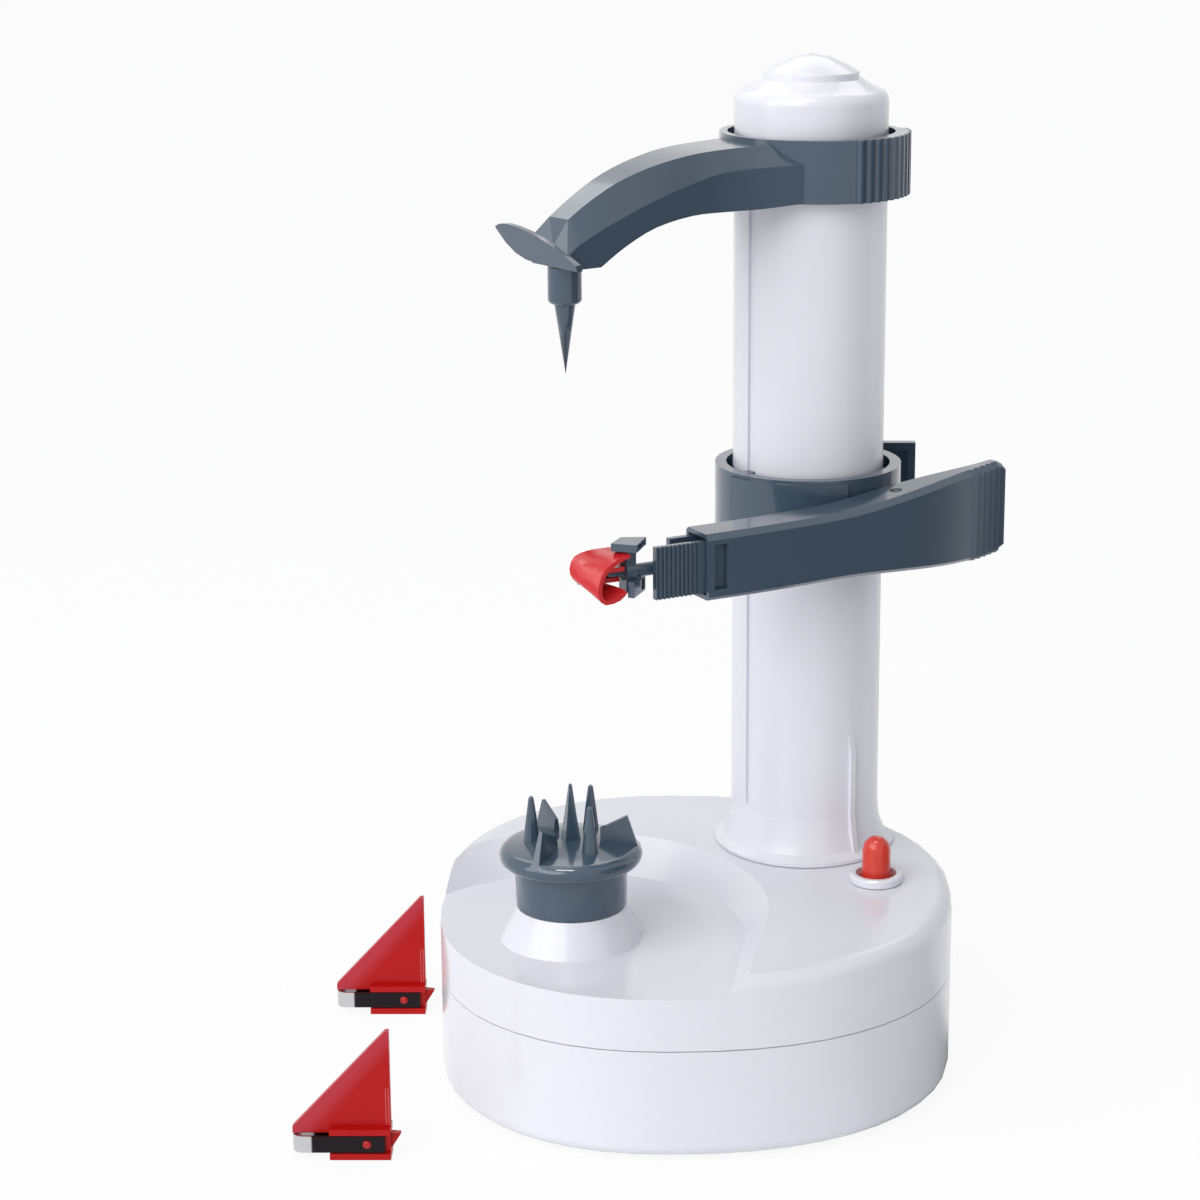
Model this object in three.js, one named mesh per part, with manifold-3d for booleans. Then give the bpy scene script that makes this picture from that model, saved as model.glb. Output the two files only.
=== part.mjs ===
// Electric peeler for round vegetables: a base with a motor drive, a turntable with spikes, a column
// with a holding arm above and a carriage with the peeling lever below, and two spare blades.
// Millimetres, +Z up. The pieces are laid out round the column axis and the whole is centred at the end.
import * as THREE from 'three';
import { mergeVertices } from 'three/addons/utils/BufferGeometryUtils.js';
import Module from 'manifold-3d';

const wasm = await Module();
wasm.setup();

// Clearances shared by all pieces
const fit = 0.3;
const overrun = 2;
const weld = 0.0001;

// Base shells
const baseLeftReach = 66.4;
const baseRightMargin = 14.4;
const baseRearMargin = 7.8;
const baseCentreLeft = 40;
const baseCentreFront = 34.2;
const outlinePower = 2.2;
const outlineSteps = 48;
const shellWall = 2.4;
const lowerEdgeRadius = 3.6;
const deckEdgeRadius = 4.5;
const edgeSteps = 3;
const footHeight = 1;
const footRadius = 6;
const footInset = 20;
const seamHeight = 32.8;
const deckHeight = 58;
const deckFall = THREE.MathUtils.degToRad(2.4);
const bayFloorHeight = 47.9;
const bayRadius = 58;
const bayWallRun = 8.5;
const bayFrontRun = 76;
const bayFrontSlant = 9;

// Gear train: turntable gear, idler and screw gear stand in one line under the arms
const gearModule = 2;
const turntableTeeth = 24;
const idlerTeeth = 24;
const screwTeeth = 16;
const driveModule = 1.25;
const wheelTeeth = 24;
const pinionTeeth = 10;
const addendumShare = 0.92;
const dedendumShare = 1.25;
const backlash = 0.35;
const pressureAngle = THREE.MathUtils.degToRad(20);
const gearThickness = 6;
const levelGap = 1.5;
const gearLevelRise = 4;
const plateBottom = 22;
const plateThickness = 2;
const plateMargin = 9;
const postRadius = 6;
const shaftRadius = 3;
const idlerShaftRadius = 2.5;
const socketDepth = 1.7;
const bushWall = 1.7;

// Motor
const motorRadius = 12;
const motorShaftRadius = 1.2;
const motorBoreDepth = 9;

// Column, lead screw and cap
const columnRadius = 21.83;
const columnWall = 2.2;
const columnTop = 267.7;
const bellRadius = 27;
const bellHeight = 12;
const bellEdgeInset = 1.2;
const bellCurvePower = 1.1;
const columnFootRadius = 14;
const footWall = 3;
const grooveWidth = 3.4;
const grooveDepth = 0.95;
const grooveBottom = 72;
const slotWidth = 7;
const slotBottom = 78;
const slotTop = 204;
const ribTop = 101.5;
const ribThickness = 1.8;
const ribProud = 1.2;
const ribFootProud = 3.4;
const ribAngle = THREE.MathUtils.degToRad(-54);
const capSkirtHeight = 9;
const capShoulderHeight = 15.2;
const capEdge = 3.6;
const capEdgeSteps = 4;
const capStep = 0.8;
const capDomeRadius = 13.4;
const capDomeRim = 1.8;
const capDomeShares = [0.75, 0.4, 0];
const capHeight = 22;
const capPlugDepth = 7;
const capWall = 2;
const screwRadius = 4;
const screwTop = 262;
const screwBossRadius = 7;
const screwBossHeight = 9;
const bearingBottom = 250;
const bearingHeight = 5;

// Arms
const armAngle = THREE.MathUtils.degToRad(219.64);
const ringClearance = 2;
const upperRingBottom = 251.1;
const upperRingHeight = 17.4;
const upperRingRadius = 26;
const gripRadius = 27.3;
const gripRibHeight = 0.9;
const gripRibs = 13;
const gripStart = THREE.MathUtils.degToRad(-66);
const gripEnd = THREE.MathUtils.degToRad(14);
const gripFlat = THREE.MathUtils.degToRad(-92);
const armTipDrop = 11.9;
const armArchHeight = 28.4;
const armHalfWidth = 9.8;
const armWall = 2.4;
const armStations = 21;
const flangeReach = 3.4;
const flangeSpan = 19.6;
const flangeNearSpan = 12.5;
const flangeHeight = 11.4;
const flangeThickness = 1.8;
const flangeLean = 0.35;
const spindleRadius = 2.5;
const spindleLength = 6.5;
const spikeCollarRadius = 4.6;
const spikeCollarLength = 10;
const spikeCollarBevel = 0.8;
const spikeRadius = 2.9;
const spikeLength = 19.3;

// Turntable cup
const bossHeight = 9.6;
const bossFootRadius = 20.3;
const bossTopRadius = 15.4;
const cupRadius = 15.9;
const cupWall = 1.8;
const cupHeight = 17.6;
const cupRimRadius = 20.2;
const cupRimThickness = 5.4;
const cupRimSteps = 6;
const cupDomeRise = 1.7;
const cupHubWall = 2.4;
const coneRadius = 2.5;
const coneHeight = 14.4;
const coneReach = 11;
const centreSpikeRadius = 3.5;
const centreSpikeHeight = 18;
const centreSpikeTurn = THREE.MathUtils.degToRad(-25);
const firstCone = THREE.MathUtils.degToRad(61);
const firstFin = THREE.MathUtils.degToRad(1);
const finHeight = 8.4;
const finFootThickness = 2.2;
const finTopThickness = 1.1;
const finInnerRadius = 8.3;
const finOuterRadius = 19;

// Peeling carriage
const carriageBottom = 151;
const carriageHeight = 22;
const carriageRadius = 27;
const keyHousingRadius = 28;
const keyHousingStart = THREE.MathUtils.degToRad(214.5);
const keyHousingEnd = THREE.MathUtils.degToRad(292);
const keyHousingDrop = 1;
const tabThickness = 3;
const tabReach = 33;
const tabHeight = 17;
const tabPanelDepth = 1;
const tabPanelInset = 2.4;
const lugHeight = 7.4;
const lugRadius = 4.6;
const lugDrop = 7.3;
const pivotReach = 34;
const pivotAngle = THREE.MathUtils.degToRad(-45);
const pinRadius = 1.5;
const followerWidth = 6;
const followerHeight = 8;

// Peeling lever
const leverLength = 110;
const leverThickness = 12.5;
const leverTipThickness = 4.6;
const leverMiddle = 158.6;
const leverMouthHeight = 18.4;
const leverPaddleHeight = 27.3;
const leverChamfer = 1;
const leverTopChamfer = 1.6;
const leverWall = 1.3;
const leverStations = 16;
const leverRiseShares = { from: 0.35, to: 0.9, even: 0.1 };
const leverTaperShares = { from: 0.55, to: 0.97 };
const leverTipShare = 0.03;
const leverTipRoundShare = 0.5;
const mouthDepth = 16;
const slotWindowNear = 2;
const slotWindowLength = 4;
const slotWindowHeight = 12.6;
const paddleRibs = 6;
const paddleRibDepth = 1.1;
const paddleRibPitch = 2.9;
const swingRoom = THREE.MathUtils.degToRad(42);
const swingSteps = 3;
const pivotSearchSteps = 200;
const springWireRadius = 0.45;
const springCurls = 4;

// Blade head, measured out from the mouth of the lever
const headHeight = 159.2;
const headDepth = 6.25;
const rodRadius = 1.9;
const rodLength = 23;
const rodPinRadius = 0.9;
const rodPinLength = 5;
const jawGrip = 12;
const frontJawReach = 15.2;
const rearJawReach = 7.2;
const jawThickness = 2.1;
const jawHeight = 14.6;
const jawRibs = 10;
const jawRibDepth = 0.7;
const guideStart = 15.6;
const guideTop = 168;
const guideBottom = 153.2;
const upperGuideHeight = 2.1;
const lowerGuideHeight = 4.4;
const guideWall = 0.7;
const guideOpening = 3;
const guideHubStart = 20;
const guideHubLength = 3;
const guideHubDepth = 4.2;
const hoodStart = 19;
const hoodLength = 18;
const hoodBottom = 151.8;
const hoodHeight = 14.5;
const hoodFront = 1.6;
const hoodBack = 10.2;
const hoodWall = 1.2;
const saddleStart = 24;
const saddleLength = 8;
const saddleLedgeFront = 3.2;
const bladeThickness = 0.7;
const bladeLength = 8;
const bladeHeight = 7.4;
const bladeBow = 0.9;
const bladeStartShare = 0.4;
const bladeBottomShare = 0.3;
const hoodSteps = 14;
const hoodDepthShares = [0, 0.25, 0.5, 0.75, 1];
const bladeSteps = 8;

// Start button
const buttonRight = 19.6;
const buttonFront = 35;
const buttonRadius = 4.1;
const buttonFootRadius = 5.6;
const buttonHeight = 12;
const buttonFootHeight = 3;
const buttonShoulderShare = 0.7;
const buttonTravel = 3;
const stemRadius = 2.8;
const stemLength = 10.5;
const buttonRingRadius = 7.8;
const buttonRingProud = 2.4;
const buttonRingEdge = 0.6;
const sleeveDepth = 9.5;
const ledgeThickness = 1.2;
const buttonSpringCurls = 4;
const buttonSpringWire = 0.3;
const switchWidth = 12.8;
const switchDepth = 6.5;
const switchHeight = 8;

// Power
const cellRadius = 7.1;
const cellLength = 48.8;
const cellTipRadius = 2.8;
const cellTipLength = 1.4;
const cellGap = 0.8;
const cellsLeft = 38;
const cellsBack = 8;
const contactThickness = 0.8;
const cradleWall = 1.2;
const doorThickness = 2.1;
const hingeRoom = 0.5;
const jackWidth = 9;
const jackLength = 12;
const jackHeight = 10;
const jackBoreRadius = 3.2;
const jackMiddleHeight = 20;
const jackRight = 2;

// Screws
const screwPostRadius = 4;
const fixingRadius = 1.3;
const fixingHeadRadius = 2.8;
const fixingHeadHeight = 1.6;
const fixingTop = 41;

// Spare blades
const spareWidth = 27;
const spareHeight = 28;
const sparePlate = 2;
const spareDepth = 6.4;
const spareFlange = 1.8;
const spareGap = 5.4;
const spareRearLeft = 142;
const spareRearBack = 2;
const spareStepLeft = 1;
const spareStepFront = 100;
const spareStripThickness = 0.8;
const spareLoopRadius = 2.9;
const spareFlangeShares = { from: 0.38, to: 1 };
const spareTopShare = 0.96;
const spareLugShare = 1.1;
const spareStripShare = 0.94;

// Smoothness
const roundSteps = 32;
const fineSteps = 20;
const coarseSteps = 12;
const fullTurn = Math.PI * 2;

// Places that follow from the sizes above
const armReach = (gearModule * (turntableTeeth + 2 * idlerTeeth + screwTeeth)) / 2;
const armDirection = new THREE.Vector2(Math.cos(armAngle), Math.sin(armAngle));
const armSide = new THREE.Vector2(-armDirection.y, armDirection.x);
const turntablePlace = armDirection.clone().multiplyScalar(armReach);
const idlerPlace = armDirection.clone().multiplyScalar((gearModule * (idlerTeeth + screwTeeth)) / 2);
const motorDistance = (driveModule * (wheelTeeth + pinionTeeth)) / 2;
const motorPlace = idlerPlace.clone().addScaledVector(armSide, motorDistance);
const baseCentre = new THREE.Vector2(-baseCentreLeft, -baseCentreFront);
const pivotPlace = new THREE.Vector2(Math.cos(pivotAngle), Math.sin(pivotAngle)).multiplyScalar(pivotReach);
const buttonPlace = new THREE.Vector2(buttonRight, -buttonFront);
const shellBottom = footHeight + fit;
const floorTop = shellBottom + shellWall;
const bayCeiling = bayFloorHeight - shellWall;
const wheelBottom = plateBottom + plateThickness + levelGap;
const gearBottom = wheelBottom + gearThickness + gearLevelRise;
const cupBottom = bayFloorHeight + bossHeight + fit;
const baseRightReach = baseCentreLeft + bellRadius + baseRightMargin;
const baseDepthReach = baseCentreFront + bellRadius + baseRearMargin;
const ringBore = columnRadius + ringClearance;
const keyInner = columnRadius - grooveDepth + fit;
const carriageTop = carriageBottom + carriageHeight;
const cellPitch = 2 * cellRadius + cellGap;
const cellFloor = floorTop + fit;
const armTipHeight = upperRingBottom - armTipDrop;

// Finishes
const white = { color: 0xe6e6ec, roughness: 0.28, metalness: 0 };
const slate = { color: 0x4c5f6b, roughness: 0.38, metalness: 0 };
const red = { color: 0xcc2430, roughness: 0.35, metalness: 0 };
const steel = { color: 0xa9adb2, roughness: 0.3, metalness: 1 };
const brass = { color: 0xb9975b, roughness: 0.4, metalness: 1 };
const nylon = { color: 0xdfdccf, roughness: 0.5, metalness: 0 };
const rubber = { color: 0x2b2c2e, roughness: 0.85, metalness: 0 };
const dark = { color: 0x26282b, roughness: 0.5, metalness: 0 };
const cellSkin = { color: 0x8b6a35, roughness: 0.4, metalness: 0.3 };

// Geometry helpers

function vector(x, y, z) {
  return new THREE.Vector3(x, y, z);
}

function flat(x, y) {
  return new THREE.Vector2(x, y);
}

function tidy(geometry) {
  const bare = geometry.clone();
  bare.deleteAttribute('normal');
  bare.deleteAttribute('uv');
  const welded = mergeVertices(bare, weld);
  const index = welded.index.array;
  const kept = [];
  for (let i = 0; i < index.length; i += 3) {
    const [a, b, c] = [index[i], index[i + 1], index[i + 2]];
    if (a !== b && b !== c && a !== c) kept.push(a, b, c);
  }
  welded.setIndex(kept);
  return facedOut(welded);
}

function signedVolume(geometry) {
  const position = geometry.attributes.position;
  const index = geometry.index.array;
  const [a, b, c] = [new THREE.Vector3(), new THREE.Vector3(), new THREE.Vector3()];
  let volume = 0;
  for (let i = 0; i < index.length; i += 3) {
    a.fromBufferAttribute(position, index[i]);
    b.fromBufferAttribute(position, index[i + 1]);
    c.fromBufferAttribute(position, index[i + 2]);
    volume += a.dot(b.cross(c)) / 6;
  }
  return volume;
}

function facedOut(geometry) {
  if (signedVolume(geometry) > 0) return geometry;
  const index = Array.from(geometry.index.array);
  for (let i = 0; i < index.length; i += 3) [index[i], index[i + 1]] = [index[i + 1], index[i]];
  geometry.setIndex(index);
  return geometry;
}

function solidOf(geometry) {
  const clean = tidy(geometry);
  const mesh = new wasm.Mesh({
    numProp: 3,
    vertProperties: new Float32Array(clean.attributes.position.array),
    triVerts: new Uint32Array(clean.index.array),
  });
  return new wasm.Manifold(mesh);
}

function geometryOf(solid) {
  const mesh = solid.getMesh();
  const geometry = new THREE.BufferGeometry();
  geometry.setAttribute('position', new THREE.BufferAttribute(new Float32Array(mesh.vertProperties), 3));
  geometry.setIndex(Array.from(mesh.triVerts));
  return geometry;
}

function join(...geometries) {
  return geometryOf(geometries.map(solidOf).reduce((sum, next) => sum.add(next)));
}

function cut(body, ...tools) {
  return geometryOf(tools.map(solidOf).reduce((rest, next) => rest.subtract(next), solidOf(body)));
}

function common(first, second) {
  return geometryOf(solidOf(first).intersect(solidOf(second)));
}

function moved(geometry, x, y, z) {
  return geometry.clone().translate(x, y, z);
}

function at(geometry, place, z = 0) {
  return moved(geometry, place.x, place.y, z);
}

function prism(points, bottom, height, holes = []) {
  const shape = new THREE.Shape(points);
  holes.forEach((hole) => shape.holes.push(new THREE.Path(hole)));
  return new THREE.ExtrudeGeometry(shape, { depth: height, bevelEnabled: false }).translate(0, 0, bottom);
}

function circle(radius, steps = fineSteps) {
  const points = [];
  for (let i = 0; i < steps; i++) {
    const angle = (i / steps) * fullTurn;
    points.push(flat(radius * Math.cos(angle), radius * Math.sin(angle)));
  }
  return points;
}

function disc(radius, bottom, height, steps = fineSteps) {
  return prism(circle(radius, steps), bottom, height);
}

function tube(radius, bore, bottom, height, steps = fineSteps) {
  return prism(circle(radius, steps), bottom, height, [circle(bore, steps)]);
}

function turned(profile, steps = roundSteps) {
  const points = profile.map(([radius, height]) => flat(radius, height));
  return tidy(new THREE.LatheGeometry(points, steps).rotateX(Math.PI / 2));
}

function block(width, depth, height, x, y, bottom) {
  return new THREE.BoxGeometry(width, depth, height).translate(x, y, bottom + height / 2);
}

// A body through sections of equal count: each section has a flat outline and a way to place its points
function loft(sections) {
  const count = sections[0].outline.length;
  const positions = [];
  sections.forEach(({ outline, place }) => {
    outline.forEach((point) => positions.push(...place(point).toArray()));
  });
  const index = [];
  for (let s = 0; s < sections.length - 1; s++) {
    for (let i = 0; i < count; i++) {
      const next = (i + 1) % count;
      const [a, b] = [s * count + i, s * count + next];
      index.push(a, b, a + count, b, b + count, a + count);
    }
  }
  const last = (sections.length - 1) * count;
  const startFaces = THREE.ShapeUtils.triangulateShape(sections[0].outline, []);
  const endFaces = THREE.ShapeUtils.triangulateShape(sections[sections.length - 1].outline, []);
  const turn = THREE.ShapeUtils.isClockWise(sections[0].outline) ? -1 : 1;
  startFaces.forEach(([a, b, c]) => index.push(...(turn > 0 ? [c, b, a] : [a, b, c])));
  endFaces.forEach(([a, b, c]) => index.push(...(turn > 0 ? [a, b, c] : [c, b, a]).map((i) => i + last)));
  const geometry = new THREE.BufferGeometry();
  geometry.setAttribute('position', new THREE.Float32BufferAttribute(positions, 3));
  geometry.setIndex(index);
  return facedOut(geometry);
}

function level(outline, height) {
  return { outline, place: (point) => vector(point.x, point.y, height) };
}

// One unbroken wire round the vertical axis
function coil(radius, wireRadius, curls, bottom, height) {
  const stepsPerCurl = 8;
  const wireSides = 5;
  const sections = [];
  for (let i = 0; i <= curls * stepsPerCurl; i++) {
    const angle = (i / stepsPerCurl) * fullTurn;
    const rise = bottom + (height * i) / (curls * stepsPerCurl);
    const out = vector(Math.cos(angle), Math.sin(angle), 0);
    const place = (point) =>
      out.clone().multiplyScalar(radius + point.x).add(vector(0, 0, rise + point.y));
    sections.push({ outline: circle(wireRadius, wireSides), place });
  }
  return loft(sections);
}

// Involute spur gear, with one tooth centred on the angle given
function gearOutline(teeth, module, toothAngle) {
  const pitchRadius = (module * teeth) / 2;
  const baseRadius = pitchRadius * Math.cos(pressureAngle);
  const tipRadius = pitchRadius + module * addendumShare;
  const rootRadius = pitchRadius - module * dedendumShare;
  const involute = (radius) => {
    const angle = Math.acos(Math.min(1, baseRadius / radius));
    return Math.tan(angle) - angle;
  };
  const pitchHalf = Math.PI / (2 * teeth) - backlash / (2 * pitchRadius);
  const halfAngle = (radius) =>
    pitchHalf + involute(pitchRadius) - involute(Math.max(radius, baseRadius));
  const flankStart = Math.min(rootRadius, baseRadius);
  const points = [];
  for (let tooth = 0; tooth < teeth; tooth++) {
    const middle = toothAngle + (tooth / teeth) * fullTurn;
    const side = [flankStart, pitchRadius, tipRadius];
    side.forEach((radius) => points.push(polar(radius, middle - halfAngle(radius))));
    side.reverse().forEach((radius) => points.push(polar(radius, middle + halfAngle(radius))));
  }
  return points;
}

function polar(radius, angle) {
  return flat(radius * Math.cos(angle), radius * Math.sin(angle));
}

// Base

function baseOutline(inset) {
  return Array.from({ length: outlineSteps }, (unused, i) => outlinePoint(inset, i / outlineSteps));
}

function outlinePoint(inset, share) {
  const power = 2 / outlinePower;
  const shaped = (value) => Math.sign(value) * Math.pow(Math.abs(value), power);
  const [right, back] = [Math.cos(share * fullTurn), Math.sin(share * fullTurn)];
  const sideReach = right > 0 ? baseRightReach : baseLeftReach;
  return flat(
    baseCentre.x + (sideReach - inset) * shaped(right),
    baseCentre.y + (baseDepthReach - inset) * shaped(back),
  );
}

function deckAt(y) {
  return deckHeight + y * Math.tan(deckFall);
}

// The outside of the lower shell, or its inside when a wall is given
function lowerForm(wall, top, steps) {
  const radius = lowerEdgeRadius - wall;
  const sections = [];
  for (let i = 0; i <= steps; i++) {
    const turn = (i / steps) * (Math.PI / 2);
    const inset = wall + radius * (1 - Math.sin(turn));
    sections.push(level(baseOutline(inset), shellBottom + wall + radius * (1 - Math.cos(turn))));
  }
  sections.push(level(baseOutline(wall), top));
  return loft(sections);
}

function upperForm(wall, bottom, steps) {
  const radius = deckEdgeRadius - wall / 2;
  const sections = [level(baseOutline(wall), bottom)];
  for (let i = 0; i <= steps; i++) {
    const turn = (i / steps) * (Math.PI / 2);
    const drop = wall + radius * (1 - Math.sin(turn));
    const place = (point) => vector(point.x, point.y, deckAt(point.y) - drop);
    sections.push({ outline: baseOutline(wall + radius * (1 - Math.cos(turn))), place });
  }
  return loft(sections);
}

// Space of the turntable bay, grown by a wall for the ceiling under it
function bayForm(grow) {
  const ring = (radius) => {
    const points = [];
    for (let i = 0; i <= fineSteps; i++) {
      points.push(polar(radius, (i / fineSteps) * Math.PI).add(turntablePlace));
    }
    points.push(flat(turntablePlace.x - radius, turntablePlace.y - bayFrontRun));
    points.push(flat(turntablePlace.x + radius - bayFrontSlant, turntablePlace.y - bayFrontRun));
    return points;
  };
  const slope = bayWallRun / (deckHeight - bayFloorHeight);
  const floor = bayFloorHeight - grow;
  const top = deckHeight + overrun + overrun;
  const floorRadius = bayRadius - bayWallRun + grow - grow * slope;
  return loft([level(ring(floorRadius), floor), level(ring(floorRadius + (top - floor) * slope), top)]);
}

// Places of the screw posts as shares of the reach to that side
const screwPostShares = [
  [-0.67, 0.58],
  [-0.15, -0.84],
  [0.745, -0.46],
  [0.79, 0.42],
];
const screwPosts = screwPostShares.map(([right, back]) => {
  const sideReach = right < 0 ? baseLeftReach : baseRightReach;
  return flat(baseCentre.x + sideReach * right, baseCentre.y + baseDepthReach * back);
});

const doorWidth = cellLength + cellTipLength + 2 * contactThickness + 4 * fit;
const doorDepth = 2 * cellPitch - cellGap + 2 * fit;
const doorCentre = flat(-cellsLeft, cellsBack);

function buildLowerHousing() {
  const outer = lowerForm(0, seamHeight - fit / 2, edgeSteps);
  let shell = cut(outer, lowerForm(shellWall, seamHeight + overrun, 1));
  const sunk = floorTop - shellWall / 2;
  const screwBoss = disc(screwBossRadius, sunk, floorTop + screwBossHeight - sunk);
  const switchPost = at(block(switchWidth, switchDepth, switchBottom - fit - sunk, 0, 0, sunk), buttonPlace);
  const posts = screwPosts.map((place) =>
    at(disc(screwPostRadius, shellBottom, seamHeight - fit / 2 - shellBottom, coarseSteps), place),
  );
  const jackBottom = jackMiddleHeight - jackHeight / 2;
  const jackPost = block(
    jackWidth,
    jackLength / 2,
    jackBottom - fit - sunk,
    jackRight,
    jackFace() - jackLength / 2,
    sunk,
  );
  shell = join(shell, screwBoss, switchPost, ...posts.map((post) => common(post, outer)), jackPost);
  const holeBottom = shellBottom - overrun;
  const headRoom = overrun + fixingHeadHeight + 2 * fit;
  const holes = screwPosts.flatMap((place) => [
    at(disc(fixingRadius + fit, holeBottom, seamHeight + overrun, coarseSteps), place),
    at(disc(fixingHeadRadius + fit, holeBottom, headRoom, coarseSteps), place),
  ]);
  const screwSocket = disc(screwRadius + fit, floorTop + socketDepth, screwBossHeight + overrun);
  const doorway = block(
    doorWidth + 2 * fit,
    doorDepth + 2 * fit + hingeRoom,
    shellWall + 2 * overrun,
    doorCentre.x,
    doorCentre.y - hingeRoom / 2,
    shellBottom - overrun,
  );
  return cut(shell, ...holes, screwSocket, doorway, jackHole());
}

function wallBackAt(x, inset) {
  const across = (x + baseCentreLeft) / (baseRightReach - inset);
  const back = Math.pow(1 - Math.pow(across, outlinePower), 1 / outlinePower);
  return baseCentre.y + (baseDepthReach - inset) * back;
}

// The adaptor jack faces straight back, to the right of the cells, with its right corner at the wall
function jackFace() {
  return wallBackAt(jackRight + jackWidth / 2, shellWall) - 2 * fit;
}

function jackBore(radius, start) {
  return disc(radius, 0, baseDepthReach, coarseSteps)
    .rotateX(-Math.PI / 2)
    .translate(jackRight, start, jackMiddleHeight);
}

function jackHole() {
  return jackBore(jackBoreRadius + fit, jackFace() - overrun);
}

function buildUpperHousing() {
  const outer = upperForm(0, seamHeight + fit / 2, edgeSteps);
  const cavity = cut(upperForm(shellWall, seamHeight - overrun, 1), bayForm(shellWall));
  const shell = cut(outer, cavity);
  const posts = screwPosts.map((place) =>
    common(at(disc(screwPostRadius, seamHeight + fit / 2, deckHeight, coarseSteps), place), outer),
  );
  const idlerBossBottom = bayCeiling - levelGap;
  const idlerBoss = at(disc(2 * idlerShaftRadius, idlerBossBottom, levelGap + shellWall / 2), idlerPlace);
  const body = cut(join(shell, idlerBoss, ...posts), bayForm(0));
  const boss = at(
    turned([
      [0, bayFloorHeight - shellWall / 2],
      [bossFootRadius, bayFloorHeight - shellWall / 2],
      [bossFootRadius, bayFloorHeight],
      [bossTopRadius, bayFloorHeight + bossHeight],
      [0, bayFloorHeight + bossHeight],
    ]),
    turntablePlace,
  );
  const fixingBottom = seamHeight - overrun;
  const fixingRoom = disc(fixingRadius + fit, fixingBottom, fixingTop + fit - fixingBottom, coarseSteps);
  const fixings = screwPosts.map((place) => at(fixingRoom, place));
  const bushRoom = disc(
    shaftRadius + bushWall + 2 * fit,
    bayCeiling - overrun,
    bossHeight + shellWall + 2 * overrun,
  );
  return cut(
    join(body, boss),
    at(bushRoom, turntablePlace),
    at(disc(idlerShaftRadius + fit, gearBottom, bayCeiling - gearBottom - fit), idlerPlace),
    disc(columnFootRadius, deckAt(-columnFootRadius) - shellWall - overrun, deckHeight, roundSteps),
    at(disc(sleeveRadius + fit, ledgeTop - ledgeThickness - fit, deckHeight), buttonPlace),
    ...fixings,
  );
}

const footShares = [0.125, 0.375, 0.625, 0.875];

function footPlaces() {
  return footShares.map((share) => outlinePoint(footInset, share));
}

function buildFoot() {
  return disc(footRadius, 0, footHeight);
}

function buildFixing() {
  return join(
    disc(fixingHeadRadius, shellBottom + fit, fixingHeadHeight, coarseSteps),
    disc(fixingRadius, shellBottom + 2 * fit, fixingTop - shellBottom - 2 * fit, coarseSteps),
  );
}

// Start button

const sleeveRadius = buttonRingRadius - buttonRingEdge;
const deckAtButton = deckAt(-buttonFront);
const ringTop = deckAtButton + buttonRingProud;
const ledgeTop = ringTop - sleeveDepth - buttonRingProud + ledgeThickness;
const buttonFootBottom = ringTop - buttonRingProud / 2 - buttonFootHeight;
const stemBottom = buttonFootBottom - stemLength;
const switchBottom = stemBottom - buttonTravel - fit - switchHeight;

function buildButtonRing() {
  const bore = buttonFootRadius + fit;
  const profile = [
    [bore, ringTop - sleeveDepth],
    [bore, ringTop],
    [buttonRingRadius - buttonRingEdge, ringTop],
    [buttonRingRadius, ringTop - buttonRingEdge],
    [buttonRingRadius, ringTop - sleeveDepth / 2],
    [sleeveRadius, ringTop - sleeveDepth / 2],
    [sleeveRadius, ledgeTop - ledgeThickness],
    [stemRadius + fit, ledgeTop - ledgeThickness],
    [stemRadius + fit, ledgeTop],
    [bore, ledgeTop],
    [bore, ringTop - sleeveDepth],
  ];
  const outline = circle(2 * buttonRingRadius);
  const deckCut = loft([
    { outline, place: (point) => vector(point.x, point.y, deckAt(point.y - buttonFront) + fit) },
    level(outline, ledgeTop - overrun - sleeveDepth),
  ]);
  const aboveDeck = cut(turned(profile, fineSteps), deckCut);
  const sleeve = common(turned(profile, fineSteps), disc(sleeveRadius, 0, ringTop));
  return at(join(aboveDeck, sleeve), buttonPlace);
}

function buildStartButton() {
  const domeTop = deckAtButton + buttonFootHeight / 2 + buttonHeight;
  const domeSpring = domeTop - buttonRadius;
  const profile = [
    [0, stemBottom],
    [stemRadius, stemBottom],
    [stemRadius, buttonFootBottom],
    [buttonFootRadius, buttonFootBottom],
    [buttonFootRadius, buttonFootBottom + buttonFootHeight * buttonShoulderShare],
    [buttonRadius, buttonFootBottom + buttonFootHeight],
  ];
  for (let i = 0; i < edgeSteps; i++) {
    const turn = (i / edgeSteps) * (Math.PI / 2);
    profile.push([buttonRadius * Math.cos(turn), domeSpring + buttonRadius * Math.sin(turn)]);
  }
  profile.push([0, domeTop]);
  return at(turned(profile, fineSteps), buttonPlace);
}

function buildButtonSpring() {
  const radius = (stemRadius + buttonFootRadius) / 2;
  const bottom = ledgeTop + fit + buttonSpringWire;
  const top = buttonFootBottom - fit - buttonSpringWire;
  return at(coil(radius, buttonSpringWire, buttonSpringCurls, bottom, top - bottom), buttonPlace);
}

function buildStartSwitch() {
  return at(block(switchWidth, switchDepth, switchHeight, 0, 0, switchBottom), buttonPlace);
}

// Drive

function gearBody(teeth, module, toothAngle, bore, bottom) {
  return prism(gearOutline(teeth, module, toothAngle), bottom, gearThickness, [circle(bore)]);
}

function buildTurntableGear() {
  const gear = gearBody(turntableTeeth, gearModule, armAngle + Math.PI, shaftRadius + fit, gearBottom);
  const hubRadius = shaftRadius + bushWall + shellWall;
  const hub = tube(hubRadius, shaftRadius + fit, gearBottom - levelGap, gearThickness);
  return at(join(gear, hub), turntablePlace);
}

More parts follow.
